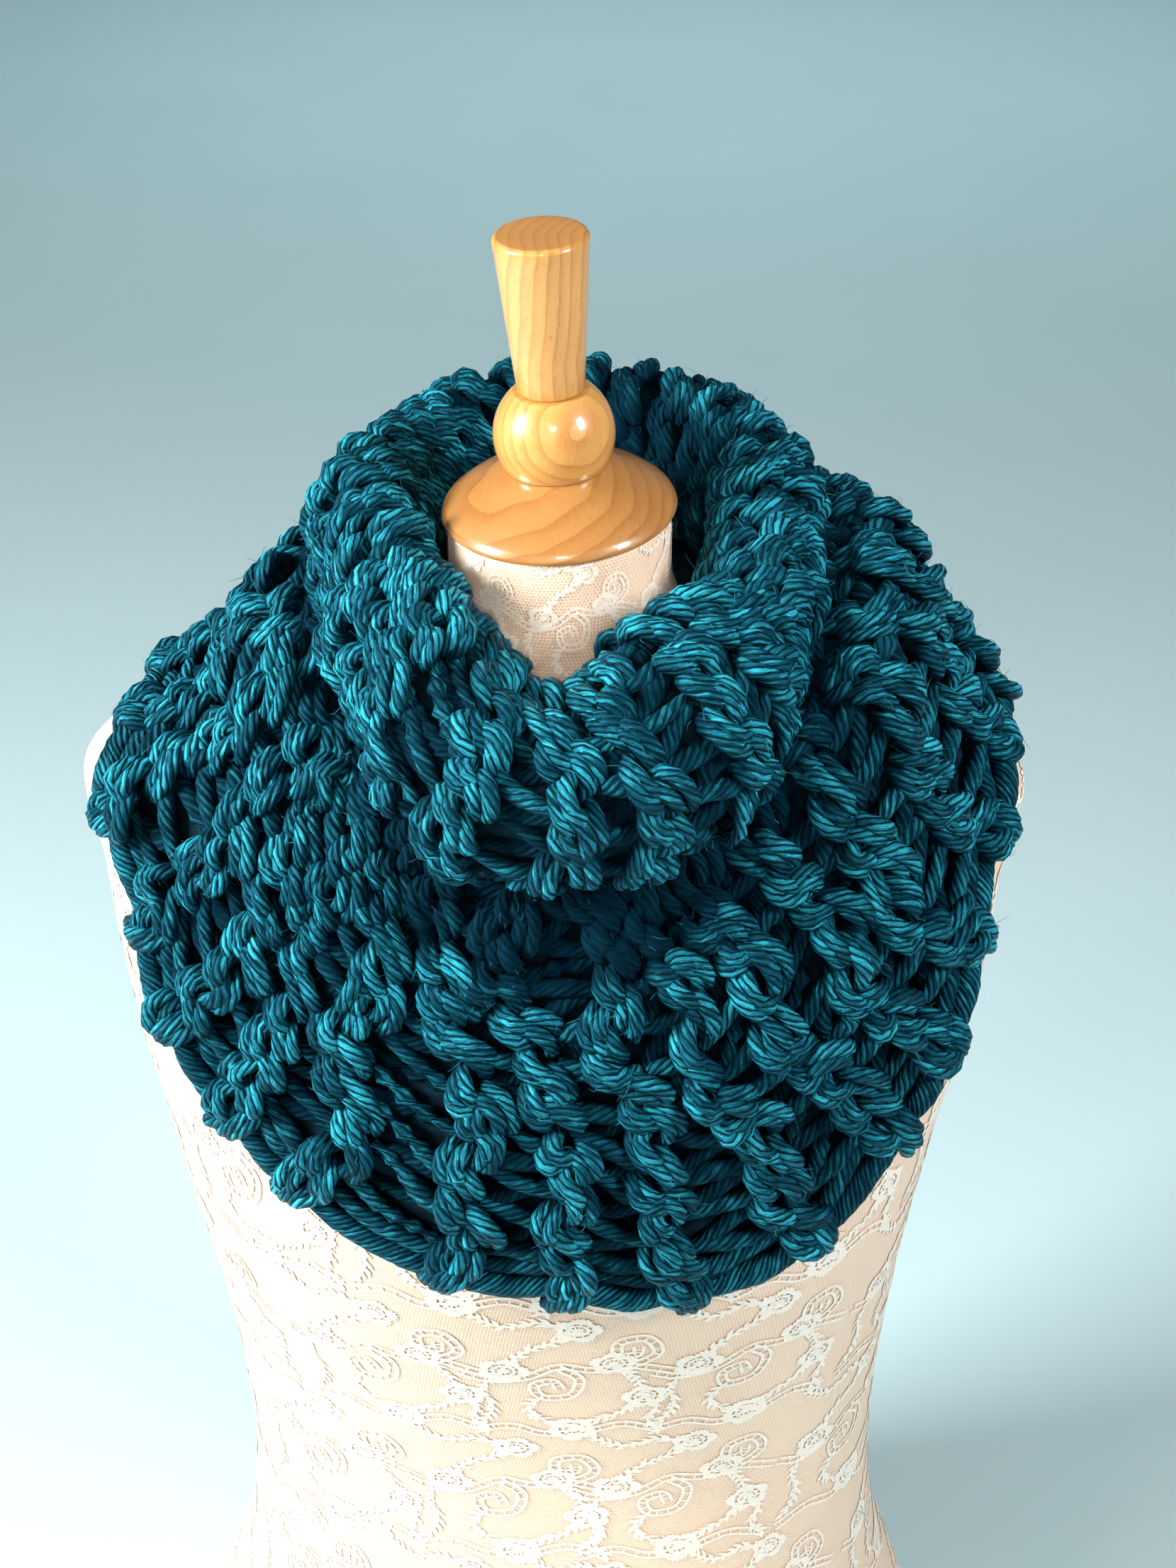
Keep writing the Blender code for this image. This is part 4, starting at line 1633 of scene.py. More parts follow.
    def _posts(self, rib: int, rng: np.random.Generator) -> Strands:
        """Zigzag posts from the knots of a rib to those of the next, which meet in pairs at each.

        Args:
            rib: Rib number.
            rng: Random source.

        Returns:
            The strands.
        """
        share = np.linspace(0, 1, len(self.post_rise))
        lengths = self.surface.length(np.array([rib % RIBS, (rib + 1) % RIBS]))
        room = float(lengths.min()) - self.first - self.edge_margin
        count = int(room / self.post_step)
        at = self.first + self.post_lift + self.post_step * np.arange(count)
        turn = np.where(np.arange(count) % 2, 1.0, -1.0)
        pinch = turn * rng.uniform(*self.post_pinch, count) * MM
        sway = self.post_drift[1] * np.sin(at / self.post_sway + rng.uniform(0, 6))
        drift_waver, up_waver, depth_waver = self.post_waver
        drift = (self.post_drift[0] + sway + rng.normal(0, drift_waver, count)) * MM
        start, end = at + pinch - drift / 2, at - pinch + drift / 2
        ups = start[:, None] * (1 - share) + end[:, None] * share
        ups = ups + rng.normal(0, up_waver, ups.shape) * MM
        gap = self.surface.spacing(np.full(count, rib + 0.5), at)
        inset = np.clip(self.post_inset / gap, *self.inset_shares)[:, None]
        ribs = rib + inset + (1 - 2 * inset) * share
        depth = np.where(turn > 0, 0.0, self.post_under) + rng.normal(0, depth_waver, count)
        out = np.array(self.post_rise) * MM + depth[:, None] * np.array(self.post_sink) * MM
        points, normals = self.surface.spots(ribs, ups)
        ends, swell = self.post_spindle
        spindle = ends + swell * np.sin(math.pi * np.linspace(0, 1, self.post_steps))
        thick = self.post_yarn * rng.uniform(*self.post_range, (count, 1)) * spindle
        laid = points + out[..., None] * normals
        # height less the depth of the shade painted in the tuck and behind the neck
        proud_less_shade = out - self.shade_depth * self.surface.shade(ribs, ups)
        return Strands.drawn(laid, proud_less_shade, normals, thick, rng.uniform(0, 0.8, count))

    def _hem_edge(self, rib: int, rng: np.random.Generator) -> list[Strands]:
        """The two thick ropes along the hem from one nub to the next, the lower one the thicker.

        Args:
            rib: Rib number.
            rng: Random source.

        Returns:
            The strands, rope by rope.
        """
        share = np.linspace(0, 1, 7)
        low, fan, bow, proud_less_shade, sizes, plies = np.array(self.hem_ropes).T[..., None]
        fan = fan * MM * (1 - 2 * share) * rng.choice((-1.0, 1.0))
        ups = low * MM + fan + bow * MM * np.sin(math.pi * share)
        ups = ups + rng.normal(0, self.jitter, ups.shape) * MM
        ribs = np.broadcast_to(rib + self.hem_run[0] + self.hem_run[1] * share, ups.shape)
        out = proud_less_shade * MM + rng.normal(0, self.hem_waver, ups.shape) * MM
        points, normals = self.surface.spots(ribs, ups)
        points = points + out[..., None] * normals
        ends, more, blunt = self.hem_swell
        swell = ends + more * np.sin(math.pi * np.linspace(0, 1, self.hem_steps)) ** blunt
        made = []
        for row in range(len(low)):
            line = slice(row, row + 1)
            thick = self.hem_yarn * sizes[line] * swell
            tone = rng.uniform(0.1, 0.7, 1)
            proud_less_shade = out[line] + self.hem_proud
            made.append(Strands.drawn(points[line], proud_less_shade, normals[line], thick, tone, int(plies[row, 0])))
        return made

    def fuzz_strands(self, sources: list[Strands]) -> Strands:
        """Short loose fibres that spring from the strands' outer sides and curl away along them.

        Args:
            sources: The strands.

        Returns:
            The fibres.
        """
        rng = np.random.default_rng(self.seed + 500)
        roots, ways, thick = [], [], []
        for source in sources:
            count, steps, _ = source.lines.shape
            roots.append(source.lines[:, 1:-1].reshape(-1, 3))
            ways.append(unit(np.diff(source.lines, axis=1))[:, 1:].reshape(-1, 3))
            thick.append(np.broadcast_to(source.thick, (count, steps))[:, 1:-1].ravel())
        roots, ways, thick = np.concatenate(roots), np.concatenate(ways), np.concatenate(thick)
        chosen = rng.integers(0, len(roots), self.fibres)
        root, way, radius = roots[chosen], ways[chosen], thick[chosen][:, None]
        outward = unit(rng.normal(0, 1, root.shape) + self._outward(root) * self.fibre_pull)
        outward = unit(outward - np.sum(outward * way, axis=1, keepdims=True) * way)
        lean = unit(way * rng.choice((-1.0, 1.0), (len(root), 1)) + rng.normal(0, 0.5, root.shape))
        length = rng.uniform(*self.fibre_lengths, (len(root), 1)) * MM
        lift = rng.uniform(*self.fibre_lifts, (len(root), 1)) * MM
        first = root + outward * radius * self.fibre_root
        middle = first + lean * length * 0.45 + outward * lift * 0.8
        last = first + lean * length * 0.85 + outward * lift * rng.uniform(0.2, 1.7, (len(root), 1))
        last = last + rng.normal(0, self.fibre_wander, root.shape) * MM
        controls = np.stack([first, middle, last], axis=1)
        width = np.full((len(root), 1), self.fibre_width) * np.array(self.fibre_taper)
        outs = np.repeat(outward[:, None], 3, axis=1)
        proud_less_shade = np.zeros(controls.shape[:2])
        return Strands.drawn(controls, proud_less_shade, outs, width, rng.uniform(0, 1, len(root)))

    def _outward(self, points: Array) -> Array:
        """Directions that point up and away from the neck."""
        away = points * np.array([1.0, 1.0, 0.0])
        return unit(unit(away) + np.array([0.0, 0.0, self.fibre_upwards]))

    def build(self, spinner: YarnSpinner, wool: bpy.types.Material) -> list[bpy.types.Object]:
        """All the yarn pieces, one of ribs and one of posts in each quarter, and the fuzz on them.

        Args:
            spinner: What sweeps the yarn.
            wool: The yarn's finish.

        Returns:
            The pieces.
        """
        pieces, fuzzy = [], []
        for quarter in Quarter:
            knots, posts = self.rib_strands(quarter), self.post_strands(quarter)
            pieces.append(spinner.spin(f"rib_knots_{quarter.label}", knots, wool))
            pieces.append(spinner.spin(f"gap_posts_{quarter.label}", posts, wool))
            fuzzy += knots
        fibres = YarnSpinner(sides=3, groove=0.0, twist=0.0)
        pieces.append(fibres.spin("wool_fuzz", [self.fuzz_strands(fuzzy)], FuzzFinish().build()))
        return pieces


@dataclass
class BackingCloth:
    """The cloth behind the stitches, from the plain inside to just below the posts."""

    surface: ScarfSurface
    columns: int = RIBS * 8
    rows: int = 57
    front_depth: float = 5.0 * MM
    inside_depth: float = WALL
    flat: tuple[float, float] = (0.30, 0.90)

    def build(self, finish: BackingFinish) -> bpy.types.Object:
        """The closed ring of cloth.

        Args:
            finish: The cloth's finish.

        Returns:
            The piece.
        """
        places = np.linspace(0, 1, self.rows)
        ribs = np.arange(self.columns) / self.columns * RIBS
        ribs, places = np.meshgrid(ribs, places)
        points, normals = self.surface.at_places(ribs, places)
        front = (points - self.front_depth * normals).reshape(-1, 3)
        inside = (points - self.inside_depth * normals).reshape(-1, 3)
        count = self.columns * self.rows
        faces = [grid_faces(self.columns, self.rows), grid_faces(self.columns, self.rows, count, flip=True)]
        column = np.arange(self.columns)
        beside = (column + 1) % self.columns
        for row, flip in ((0, True), (self.rows - 1, False)):
            one, other = row * self.columns + column, row * self.columns + beside
            rim = np.stack([one, other, other + count, one + count], axis=-1)
            faces.append(rim[:, ::-1] if flip else rim)
        mesh = mesh_of("backing_cloth", np.concatenate([front, inside]), np.concatenate(faces))
        corners = corner_points(mesh) % count
        across = ribs.ravel()[corners].reshape(-1, 4)
        wraps = (across.max(axis=1) - across.min(axis=1) > RIBS / 2)[:, None]
        across = np.where(wraps & (across < RIBS / 2), across + RIBS, across)
        up = places.ravel()[corners] * self.flat[0]
        write_uv(mesh, "cloth", np.stack([across.ravel(), up], axis=-1))
        return link_object("backing_cloth", mesh, finish.build())


@dataclass
class CoveredForm:
    """The padded dress form in its net, with the lace worked over it."""

    columns: int = 168
    foot_round: float = 6.0 * MM
    foot_angles: tuple[float, ...] = (90, 60, 30)
    # up to the shoulders: the rings' highest level and number; over them: their lowest level and number
    body: tuple[float, int] = (0.56, 64)
    shoulders: tuple[float, int] = (0.5675, 54)

    def face(self, azimuths: Array, heights: Array) -> Array:
        """Points of the form's face."""
        radius = form_radius(azimuths, heights)
        return slanted(in_space(azimuths, np.stack([radius, heights], axis=-1)))

    def build(self, finish: NetFinish) -> bpy.types.Object:
        """The form's closed mesh, with its cloth map in metres.

        Args:
            finish: The net's finish.

        Returns:
            The piece.
        """
        low = np.linspace(self.foot_round, *self.body)
        high = np.linspace(self.shoulders[0], NECK_TOP, self.shoulders[1])
        turn = np.arange(self.columns) * 360 / self.columns
        azimuths, levels = np.meshgrid(turn, np.concatenate([low, high]))
        foot = []
        for angle in np.radians(self.foot_angles):
            level = np.full(self.columns, self.foot_round * (1 - math.sin(angle)))
            radius = form_radius(turn, level) - self.foot_round * (1 - math.cos(angle))
            foot.append(in_space(turn, np.stack([radius, level], axis=-1)))
        rings = np.concatenate([np.array(foot), self.face(azimuths, levels)])
        middles = [rings[0].mean(axis=0), rings[-1].mean(axis=0)]
        points = np.concatenate([rings.reshape(-1, 3), middles])
        mesh = mesh_of("covered_form", points, capped_faces(self.columns, len(rings)))
        around = run_length(np.concatenate([rings, rings[:, :1]], axis=1))
        up = run_length(rings[:, 0])
        corners = corner_points(mesh)
        row = np.minimum(corners // self.columns, len(rings) - 1)
        column = (corners % self.columns).reshape(-1, 3)
        wraps = (column.max(axis=1) - column.min(axis=1) > self.columns / 2)[:, None]
        column = np.where(wraps & (column == 0), self.columns, column).ravel()
        across = (around - around[:, -1:] / 2)[row, column]
        write_uv(mesh, "cloth", np.stack([across, up[row]], axis=-1))
        return link_object("covered_form", mesh, finish.build())


def flat_line(controls: Array, count: int) -> Array:
    """A smooth flat line of count points through flat control points."""
    return smooth_lines(np.pad(controls, ((0, 0), (0, 1)))[None], count)[0][:, :2]


def beside_line(line: Array) -> Array:
    """Flat directions across a flat line, to its left."""
    way = unit(np.gradient(line, axis=0))
    return np.stack([-way[:, 1], way[:, 0]], axis=-1)


@dataclass
class LaceWork:
    """The lace on the form: blossoms, leafy sprays and curling double stems, thin strips over the net."""

    form: CoveredForm
    lift: float = 0.45 * MM
    # how far round and up a motif may reach from its middle, in degrees and metres
    reach: Span = (60.0, 0.09)
    seed: int = 7
    low: float = 0.03
    high: float = 0.70
    tile: Span = (0.088, 0.096)
    row_shift: float = 0.37
    neck_level: float = 0.692
    neck_scale: float = 0.56
    # shares of a blossom's size: its oval, petals, teeth, the bands from inner to outer edge, the spokes
    oval: float = 0.86
    petal: Span = (0.72, 0.26)
    tooth: float = 0.055
    bands: tuple[Span, ...] = ((0.34, 0.46), (0.01, 0.20))
    rim: float = 0.56
    spokes: int = 10
    spoke: Span = (0.16, 0.60)
    spoke_width: float = 0.8 * MM
    stem_width: float = 3.9 * MM
    stem_steps: int = 34
    cord: float = 1.5 * MM
    rung: float = 0.9 * MM
    thread: float = 1.4 * MM
    leaf_step: float = 2.1 * MM
    # in millimetres
    leaf_lengths: Span = (4.4, 7.8)
    leaf_widths: Span = (0.9, 1.5)
    # the pattern as shares of its tile, and the blossoms' sizes in millimetres; its ends meet the next tile's
    blossoms: tuple[Point, ...] = (
        (-0.30, 0.08, 11.6),
        (0.22, 0.15, 10.6),
        (0.03, -0.42, 11.8),
        (0.05, 0.42, 10.4),
        (0.39, -0.15, 11.0),
    )
    scrolls: tuple[tuple[float, ...], ...] = (
        # across and up of each control point in turn
        (-0.52, 0.05, -0.38, 0.00, -0.20, 0.03, -0.04, 0.13, 0.12, 0.10, 0.32, 0.12, 0.52, 0.05),
        (-0.04, 0.12, 0.06, 0.02, 0.02, -0.12, -0.12, -0.14, -0.16, -0.04, -0.07, 0.00, -0.03, -0.07),
        (-0.50, -0.46, -0.30, -0.40, -0.12, -0.46, 0.08, -0.44, 0.28, -0.38, 0.42, -0.42, 0.50, -0.46),
        (0.30, 0.12, 0.42, 0.22, 0.36, 0.34, 0.24, 0.32, 0.24, 0.22, 0.32, 0.22, 0.33, 0.28),
    )
    sprays: tuple[tuple[float, ...], ...] = (
        (-0.30, 0.10, -0.20, 0.24, -0.06, 0.33, 0.05, 0.42),
        (0.05, 0.42, -0.12, 0.48, -0.28, 0.44, -0.42, 0.52, -0.45, 0.58),
        (0.22, 0.15, 0.33, 0.02, 0.39, -0.15),
        (0.39, -0.15, 0.27, -0.28, 0.13, -0.34, 0.03, -0.42),
        (-0.30, 0.08, -0.42, -0.08, -0.38, -0.24, -0.45, -0.40),
        (-0.12, -0.14, -0.20, -0.24, -0.12, -0.34, 0.02, -0.40),
        (0.39, -0.15, 0.46, -0.26, 0.42, -0.36, 0.50, -0.45),
    )
    points: list[Array] = field(default_factory=list)
    faces: list[Array] = field(default_factory=list)
    count: int = 0

    def _add(self, flat: Array, faces: Array) -> None:
        """Keeps flat points (metres across and up from a motif's middle) with their faces.

        Args:
            flat: The points.
            faces: A row of point numbers for each face.
        """
        self.points.append(flat)
        self.faces.append(faces + self.count)
        self.count += len(flat)

    def _ribbon(self, line: Array, width: float) -> None:
        """A strip along a flat line.

        Args:
            line: The line's points.
            width: The strip's width.
        """
        side = beside_line(line) * width / 2
        flat = np.stack([line - side, line + side], axis=1).reshape(-1, 2)
        index = np.arange(len(line) - 1) * 2
        self._add(flat, np.stack([index, index + 2, index + 3, index + 1], axis=-1))

    def _band(self, centre: Array, ring: Array, inner: float, outer: float | Array) -> None:
        """A closed band between two sizes of a ring.

        Args:
            centre: The ring's middle.
            ring: The ring's points at size 1.
            inner: The smaller size.
            outer: The larger size, the same all round or one for each point.
        """
        edges = [centre + ring * np.reshape(size, (-1, 1)) for size in (inner, outer)]
        index = np.arange(len(ring) - 1) * 2
        faces = np.stack([index, index + 1, index + 3, index + 2], axis=-1)
        self._add(np.stack(edges, axis=1).reshape(-1, 2), faces)

    def _blossom(self, centre: Array, size: float, turn: float) -> None:
        """A blossom of five petals with a toothed edge, joined by spokes to a ring round its eye.

        Args:
            centre: Its middle.
            size: Its size.
            turn: Its turn in radians.
        """
        angle = np.linspace(0, 2 * math.pi, 61)
        petals = self.petal[0] + self.petal[1] * np.abs(np.cos(2.5 * (angle - turn))) ** 0.6
        teeth = self.tooth * np.where(np.arange(len(angle)) % 2, 1.0, -1.0)
        teeth[-1] = teeth[0]
        ring = np.stack([np.cos(angle), self.oval * np.sin(angle)], axis=-1)
        self._band(centre, ring, size * self.rim, size * (petals + teeth))
        for coarse, (inner, outer) in zip((ring[::4], ring[::6]), self.bands):
            self._band(centre, coarse, size * inner, size * outer)
        for spoke in range(self.spokes):
            out = spoke * 2 * math.pi / self.spokes + turn
            way = np.array([math.cos(out), self.oval * math.sin(out)])
            self._ribbon(centre + way * np.array(self.spoke)[:, None] * size, self.spoke_width)

    def _spray(self, controls: Array, rng: np.random.Generator) -> None:
        """A thread with small slanted leaves along both its sides.

        Args:
            controls: The thread's control points.
            rng: Random source.
        """
        line = flat_line(controls, 40)
        self._ribbon(line[::2], self.thread)
        run = run_length(line)
        for step, at in enumerate(np.arange(2.5 * MM, run[-1] - 2 * MM, self.leaf_step)):
            root, ahead = (
                np.array([np.interp(spot, run, line[:, axis]) for axis in range(2)]) for spot in (at, at + MM)
            )
            way = unit(ahead - root)
            side = np.array([-way[1], way[0]]) * (1 if step % 2 else -1)
            grow = unit(way + side * rng.uniform(0.3, 0.9))
            long, wide = rng.uniform(*self.leaf_lengths) * MM, rng.uniform(*self.leaf_widths) * MM
            across = np.array([-grow[1], grow[0]]) * wide
            middle = root + grow * long * 0.5
            leaf = np.array([root, middle - across, root + grow * long, middle + across])
            self._add(leaf, np.array([[0, 1, 2, 3]]))

    def _stem(self, controls: Array) -> None:
        """A double stem with rungs between its two cords.

        Args:
            controls: The stem's control points.
        """
        line = flat_line(controls, self.stem_steps)
        side = beside_line(line) * self.stem_width / 2
        for cord in (line - side, line + side):
            self._ribbon(cord, self.cord)
        for at in range(1, self.stem_steps - 1, 2):
            self._ribbon(np.stack([line[at] - side[at], line[at] + side[at]]), self.rung)

    def _motif(self, rng: np.random.Generator) -> None:
        """One repeat of the pattern about its middle.

        Args:
            rng: Random source.
        """
        tile = np.array(self.tile)
        for x, y, size in self.blossoms:
            self._blossom(np.array([x, y]) * tile, size * MM, rng.uniform(0, 6))
        for controls in self.scrolls:
            self._stem(np.reshape(controls, (-1, 2)) * tile)
        for controls in self.sprays:
            self._spray(np.reshape(controls, (-1, 2)) * tile, rng)

    def build(self, finish: LaceFinish) -> bpy.types.Object:
        """The lace laid all over the form.

        Args:
            finish: The lace thread's finish.

        Returns:
            The piece.
        """
        rng = np.random.default_rng(self.seed)
        self._motif(rng)
        flat, faces = np.concatenate(self.points), np.concatenate(self.faces)
        wide, tall = self.tile
        all_points, all_faces, start = [], [], 0
        levels = self.low + (np.arange(int((self.high - self.low) / tall)) + 0.5) * tall
        tiers = [*((level, 1.0) for level in levels), (self.neck_level, self.neck_scale)]
        for row, (level, scale) in enumerate(tiers):
            ring = self.form.face(np.linspace(0, 360, 181), np.full(181, level))
            girth = run_length(ring)[-1]
            repeats = max(3, round(girth / wide / scale))
            for place in range(repeats):
                turn = (place + self.row_shift * row) * 360 / repeats
                points = self._laid(flat * scale, turn, level, girth / repeats / wide / scale)
                all_points.append(points)
                all_faces.append(faces + start)
                start += len(flat)
        mesh = mesh_of("lace_work", np.concatenate(all_points), np.concatenate(all_faces))
        return link_object("lace_work", mesh, finish.build())

    def _laid(self, flat: Array, turn: float, level: float, stretch: float) -> Array:
        """Flat points laid on the form round an azimuth and height, just over its net.

        Args:
            flat: Points, in metres across and up from the middle.
            turn: The middle's azimuth.
            level: The middle's height.
            stretch: How much wider they lie than they are.

        Returns:
            The points in space.
        """
        sweep = np.radians(np.linspace(-self.reach[0], self.reach[0], 121))
        line = self.form.face(turn + np.degrees(sweep), np.full(len(sweep), level))
        run = run_length(line)
        azimuths = turn + np.degrees(np.interp(flat[:, 0] * stretch + run[len(run) // 2], run, sweep))
        heights = np.clip(level + np.linspace(-self.reach[1], self.reach[1], 61), MM, NECK_TOP - MM)
        rise = run_length(self.form.face(np.full(len(heights), turn), heights))
        levels = np.interp(flat[:, 1] + rise[len(rise) // 2], rise, heights)
        step = 0.5
        beside = self.form.face(azimuths + step, levels) - self.form.face(azimuths - step, levels)
        above = self.form.face(azimuths, np.minimum(levels + MM, NECK_TOP))
        below = self.form.face(azimuths, levels - MM)
        return self.form.face(azimuths, levels) + self.lift * unit(np.cross(beside, above - below))


# ---- Wood ----
@dataclass
class TurnedTop:
    """The form's neck cap, ball and handle, turned from one wood and leaning together."""

    steps: int = 96
    cap_height: float = 19.6 * MM
    ball_radius: float = 23.5 * MM
    ball_centre: float = 32.3 * MM
    ball_top_radius: float = 14.5 * MM
    handle_length: float = 61.2 * MM
    handle_foot: float = 13.1 * MM
    handle_top: float = 18.0 * MM
    handle_edge: float = 2.2 * MM
    sharp_from: float = 38.0
    # radius and height in millimetres: the cap's flat top, its flare, and its rim and underside
    cap_flat: tuple[Span, ...] = ((0.0, 19.6), (12.0, 19.6), (19.0, 19.6))
    cap_rim: tuple[Span, ...] = ((45.9, 0.7), (45.6, 0.25), (45.1, 0.0), (44.0, 0.0), (0.0, 0.0))
    cap_flare: tuple[Span, ...] = (
        (20.0, 19.6),
        (22.5, 18.4),
        (29.0, 14.6),
        (36.0, 10.6),
        (41.5, 6.6),
        (44.8, 3.6),
        (46.0, 1.3),
    )

    def cap_profile(self) -> Array:
        """The cap from its flat top over the flare and the rim to its foot.

        Returns:
            Radius and height of each point.
        """
        flare = np.array(self.cap_flare)
        chord = run_length(flare)
        curve = hermite(chord, flare, np.linspace(0, chord[-1], 34))
        return np.array([*self.cap_flat, *curve, *self.cap_rim]) * MM

    def ball_profile(self) -> Array:
        """The ball between its seat on the cap and the flat under the handle.

        Returns:
            Radius and height of each point.
        """
        low = -math.asin((self.ball_centre - self.cap_height - SEAT_GAP) / self.ball_radius)
        high = math.acos(self.ball_top_radius / self.ball_radius)
        angles = np.linspace(high, low, 36)
        radius = self.ball_radius * np.cos(angles)
        height = self.ball_centre + self.ball_radius * np.sin(angles)
        return np.array([(0.0, height[0]), *zip(radius, height), (0.0, height[-1])])

    def handle_profile(self) -> Array:
        """The handle from its flat top down the taper to its foot.

        Returns:
            Radius and height of each point.
        """
        ball = self.ball_profile()
        low = ball[0, 1] + SEAT_GAP
        top = low + self.handle_length
        edge = self.handle_edge
        rounded = [
            (self.handle_top - edge + edge * math.cos(angle), top - edge + edge * math.sin(angle))
            for angle in np.radians(np.linspace(90, 0, 8))
        ]
        thinning, drop = self.handle_foot - self.handle_top, self.handle_length - 4 * MM
        taper = [
            (self.handle_top + thinning * share, top - edge - share * drop)
            for share in np.linspace(0.04, 1, 18)
        ]
        foot = [(self.handle_foot - 0.3 * MM, low + 0.6 * MM), (self.handle_foot - 0.8 * MM, low), (0.0, low)]
        return np.array([(0.0, top), (self.handle_top * 0.6, top), *rounded, *taper, *foot])

    def turned(self, name: str, profile: Array, finish: WoodFinish) -> bpy.types.Object:
        """One turned piece, stood on the leaning axis.

        Args:
            name: The piece's name.
            profile: Radius and height of each point, from the top down.
            finish: Its wood's finish.

        Returns:
            The piece.
        """
        angles = np.arange(self.steps) * 2 * math.pi / self.steps
        wall = profile[1:-1]
        radius, height = wall[:, :1], wall[:, 1:]
        across, deep = radius * np.cos(angles), radius * np.sin(angles)
        rings = np.stack(np.broadcast_arrays(across, deep, height), axis=-1)
        ends = [(0, 0, profile[0, 1]), (0, 0, profile[-1, 1])]
        points = np.concatenate([rings.reshape(-1, 3), ends])
        seat = Matrix.Translation((0, 0, NECK_TOP + SEAT_GAP))
        lean = np.array(seat @ Euler((LEAN_FORWARD, -LEAN_LEFT, 0)).to_matrix().to_4x4())
        points = points @ lean[:3, :3].T + lean[:3, 3]
        mesh = mesh_of(name, points, capped_faces(self.steps, len(wall), flip=True))
        made = link_object(name, mesh, finish.build())
        mesh.set_sharp_from_angle(angle=math.radians(self.sharp_from))
        return made

    def build(self) -> dict[str, bpy.types.Object]:
        """The three pieces, by the node that each stands for.

        Returns:
            The pieces.
        """
        # the cap is given darker colours than the ball and the handle
        cap = WoodFinish(
            "cap wood",
            (0.44, 0.212, 0.058),
            (0.33, 0.128, 0.027),
            ring_turn=(math.radians(78), 0.0, math.radians(35)),
            ring_centre=(0.02, -0.73, 0.72),
        )
        slanting = (math.radians(20), math.radians(12), 0.0)
        ball = WoodFinish("ball wood", ring_turn=slanting, ring_centre=(-0.01, 0.02, 0.0))
        upright = (math.radians(3.5), math.radians(-2), 0.0)
        handle = WoodFinish("handle wood", ring_turn=upright, ring_centre=(0.0, 0.06, 0.0), top_darkening=0.38)
        return {
            "neck_cap": self.turned("turned_cap", self.cap_profile(), cap),
            "ball_finial": self.turned("turned_ball", self.ball_profile(), ball),
            "handle": self.turned("turned_handle", self.handle_profile(), handle),
        }


# ---- Studio ----
@dataclass(frozen=True)
class Lamp:
    """A soft rectangular light."""

    name: str
    place: Point
    target: Point
    size: Span
    power: float
    colour: Colour = (1.0, 1.0, 1.0)
    beam: float = 180.0

    def build(self) -> None:
        """Adds the light."""
        data = bpy.data.lights.new(self.name, "AREA")
        data.shape = "RECTANGLE"
        data.size, data.size_y = self.size
        data.energy = self.power
        data.color = self.colour
        data.spread = math.radians(self.beam)
        made = bpy.data.objects.new(self.name, data)
        made.location = self.place
        way = Vector(self.target) - Vector(self.place)
        made.rotation_euler = way.to_track_quat("-Z", "Y").to_euler()
        bpy.context.scene.collection.objects.link(made)


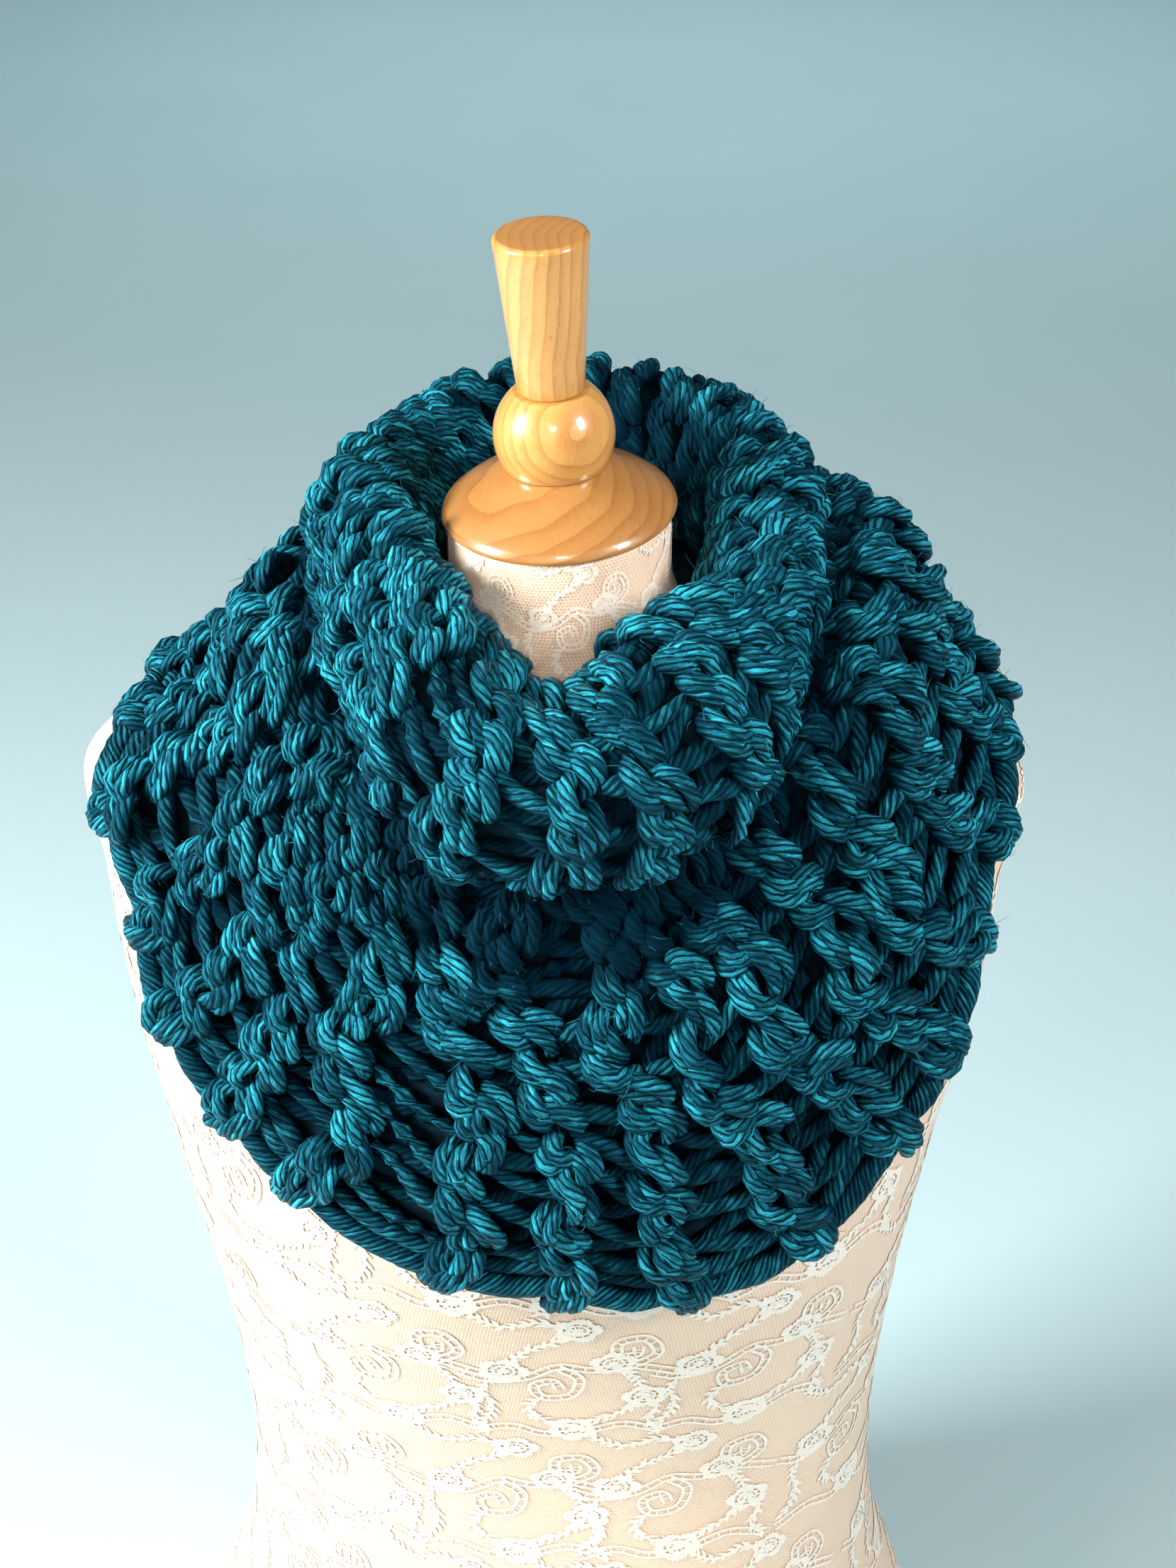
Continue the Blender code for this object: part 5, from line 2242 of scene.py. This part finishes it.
@dataclass
class Studio:
    """The camera, the lights, the pale floor and the sky light."""

    camera_place: Point = (0.05391, -0.81558, 1.13242)
    camera_turn: Point = (math.radians(56.5), 0.0, math.radians(3.0))
    lens: float = 53.7
    sensor: float = 36.0
    floor_size: float = 24.0
    floor_colour: Colour = (0.58, 0.78, 0.82)
    floor_dim: float = 0.93
    sky: Colour = (0.80, 0.90, 1.0)
    sky_strength: float = 0.10
    sun_turn: Point = (math.radians(-12), math.radians(-18), 0.0)
    sun_strength: float = 0.15
    sun_spread: float = 70.0

    def build_camera(self) -> None:
        """Adds the camera and makes it the scene's."""
        data = bpy.data.cameras.new("camera")
        data.sensor_fit = "VERTICAL"
        data.sensor_height = self.sensor
        data.lens = self.lens
        data.clip_start = 0.01
        made = bpy.data.objects.new("camera", data)
        made.location = self.camera_place
        made.rotation_euler = self.camera_turn
        bpy.context.scene.collection.objects.link(made)
        bpy.context.scene.camera = made

    def build_lights(self) -> None:
        """Adds the key light from the left, the fills, the light behind and the sky."""
        middle = (0.0, 0.0, 0.6)
        hip, neck, ground = (-0.05, -0.10, 0.16), (0.0, -0.03, 0.70), (0.0, 3.1, 0.0)
        warm, warmer, cool = (1.0, 0.93, 0.85), (1.0, 0.84, 0.72), (0.80, 1.0, 1.0)
        for lamp in (
            Lamp("left_window", (-1.38, -0.52, 1.27), middle, (0.5, 0.7), 66.0, (1.0, 0.985, 0.96)),
            Lamp("right_window", (1.15, -0.55, 1.45), middle, (0.30, 0.45), 21.0),
            Lamp("low_fill", (-0.85, -1.05, 0.42), hip, (0.5, 0.4), 0.50, warmer, 30.0),
            Lamp("room", (-0.25, -1.5, 1.25), middle, (1.0, 0.7), 1.8, warm),
            Lamp("neck_glow", (0.05, -1.25, 1.50), neck, (0.22, 0.22), 0.09, (1.0, 0.93, 0.84), 13.0),
            Lamp("backdrop", (0.0, 3.2, 2.6), ground, (3.0, 1.5), 11.0, cool, 80.0),
        ):
            lamp.build()
        sun = bpy.data.lights.new("soft_sky", "SUN")
        sun.energy = self.sun_strength
        sun.angle = math.radians(self.sun_spread)
        high = bpy.data.objects.new("soft_sky", sun)
        high.rotation_euler = self.sun_turn
        bpy.context.scene.collection.objects.link(high)
        world = bpy.data.worlds.new("sky")
        world.use_nodes = True
        background = world.node_tree.nodes["Background"]
        background.inputs[0].default_value = rgba(self.sky)
        background.inputs[1].default_value = self.sky_strength
        bpy.context.scene.world = world
        bpy.context.scene.view_settings.view_transform = "Standard"

    def build_floor(self) -> None:
        """Adds the floor, which isn't part of the object."""
        half = self.floor_size / 2
        corners = np.array([(-half, -half, 0), (half, -half, 0), (half, half, 0), (-half, half, 0)], float)
        mesh = mesh_of("floor", corners, np.array([[0, 1, 2, 3]]))
        tree = Surface("pale floor")
        clouds = tree.noise(tree.place(), 3.0, 2.0)
        dim = tuple(self.floor_dim * part for part in self.floor_colour)
        made = tree.close({"Base Color": tree.mix(clouds, dim, self.floor_colour), "Roughness": 0.8})
        link_object("floor", mesh, made)


def main() -> None:
    """Builds the studio and every piece, and ties each piece to the frame."""
    logging.basicConfig(level=logging.INFO, format="%(message)s")
    studio = Studio()
    studio.build_camera()
    studio.build_lights()
    studio.build_floor()
    surface = ScarfSurface()
    backing = BackingCloth(surface)
    cloth = backing.build(BackingFinish())
    yarn = CrochetStitches(surface).build(YarnSpinner(), WoolFinish().build())
    form = CoveredForm()
    covered = form.build(NetFinish(net_group()))
    lace = LaceWork(form).build(LaceFinish())
    wood = TurnedTop().build()
    for piece in (cloth, covered, lace, *yarn, *wood.values()):
        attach(piece, BODY)
        LOG.info("%s: %d triangles", piece.name, sum(len(face.vertices) - 2 for face in piece.data.polygons))
    stretches = [f"scarf_{stretch}_{side}" for stretch in ("neck_roll", "shoulder_drape") for side in SIDES]
    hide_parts(*stretches)
    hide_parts("dress_form")
    for node, piece in wood.items():
        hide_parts(node)


if __name__ == "__main__":
    main()
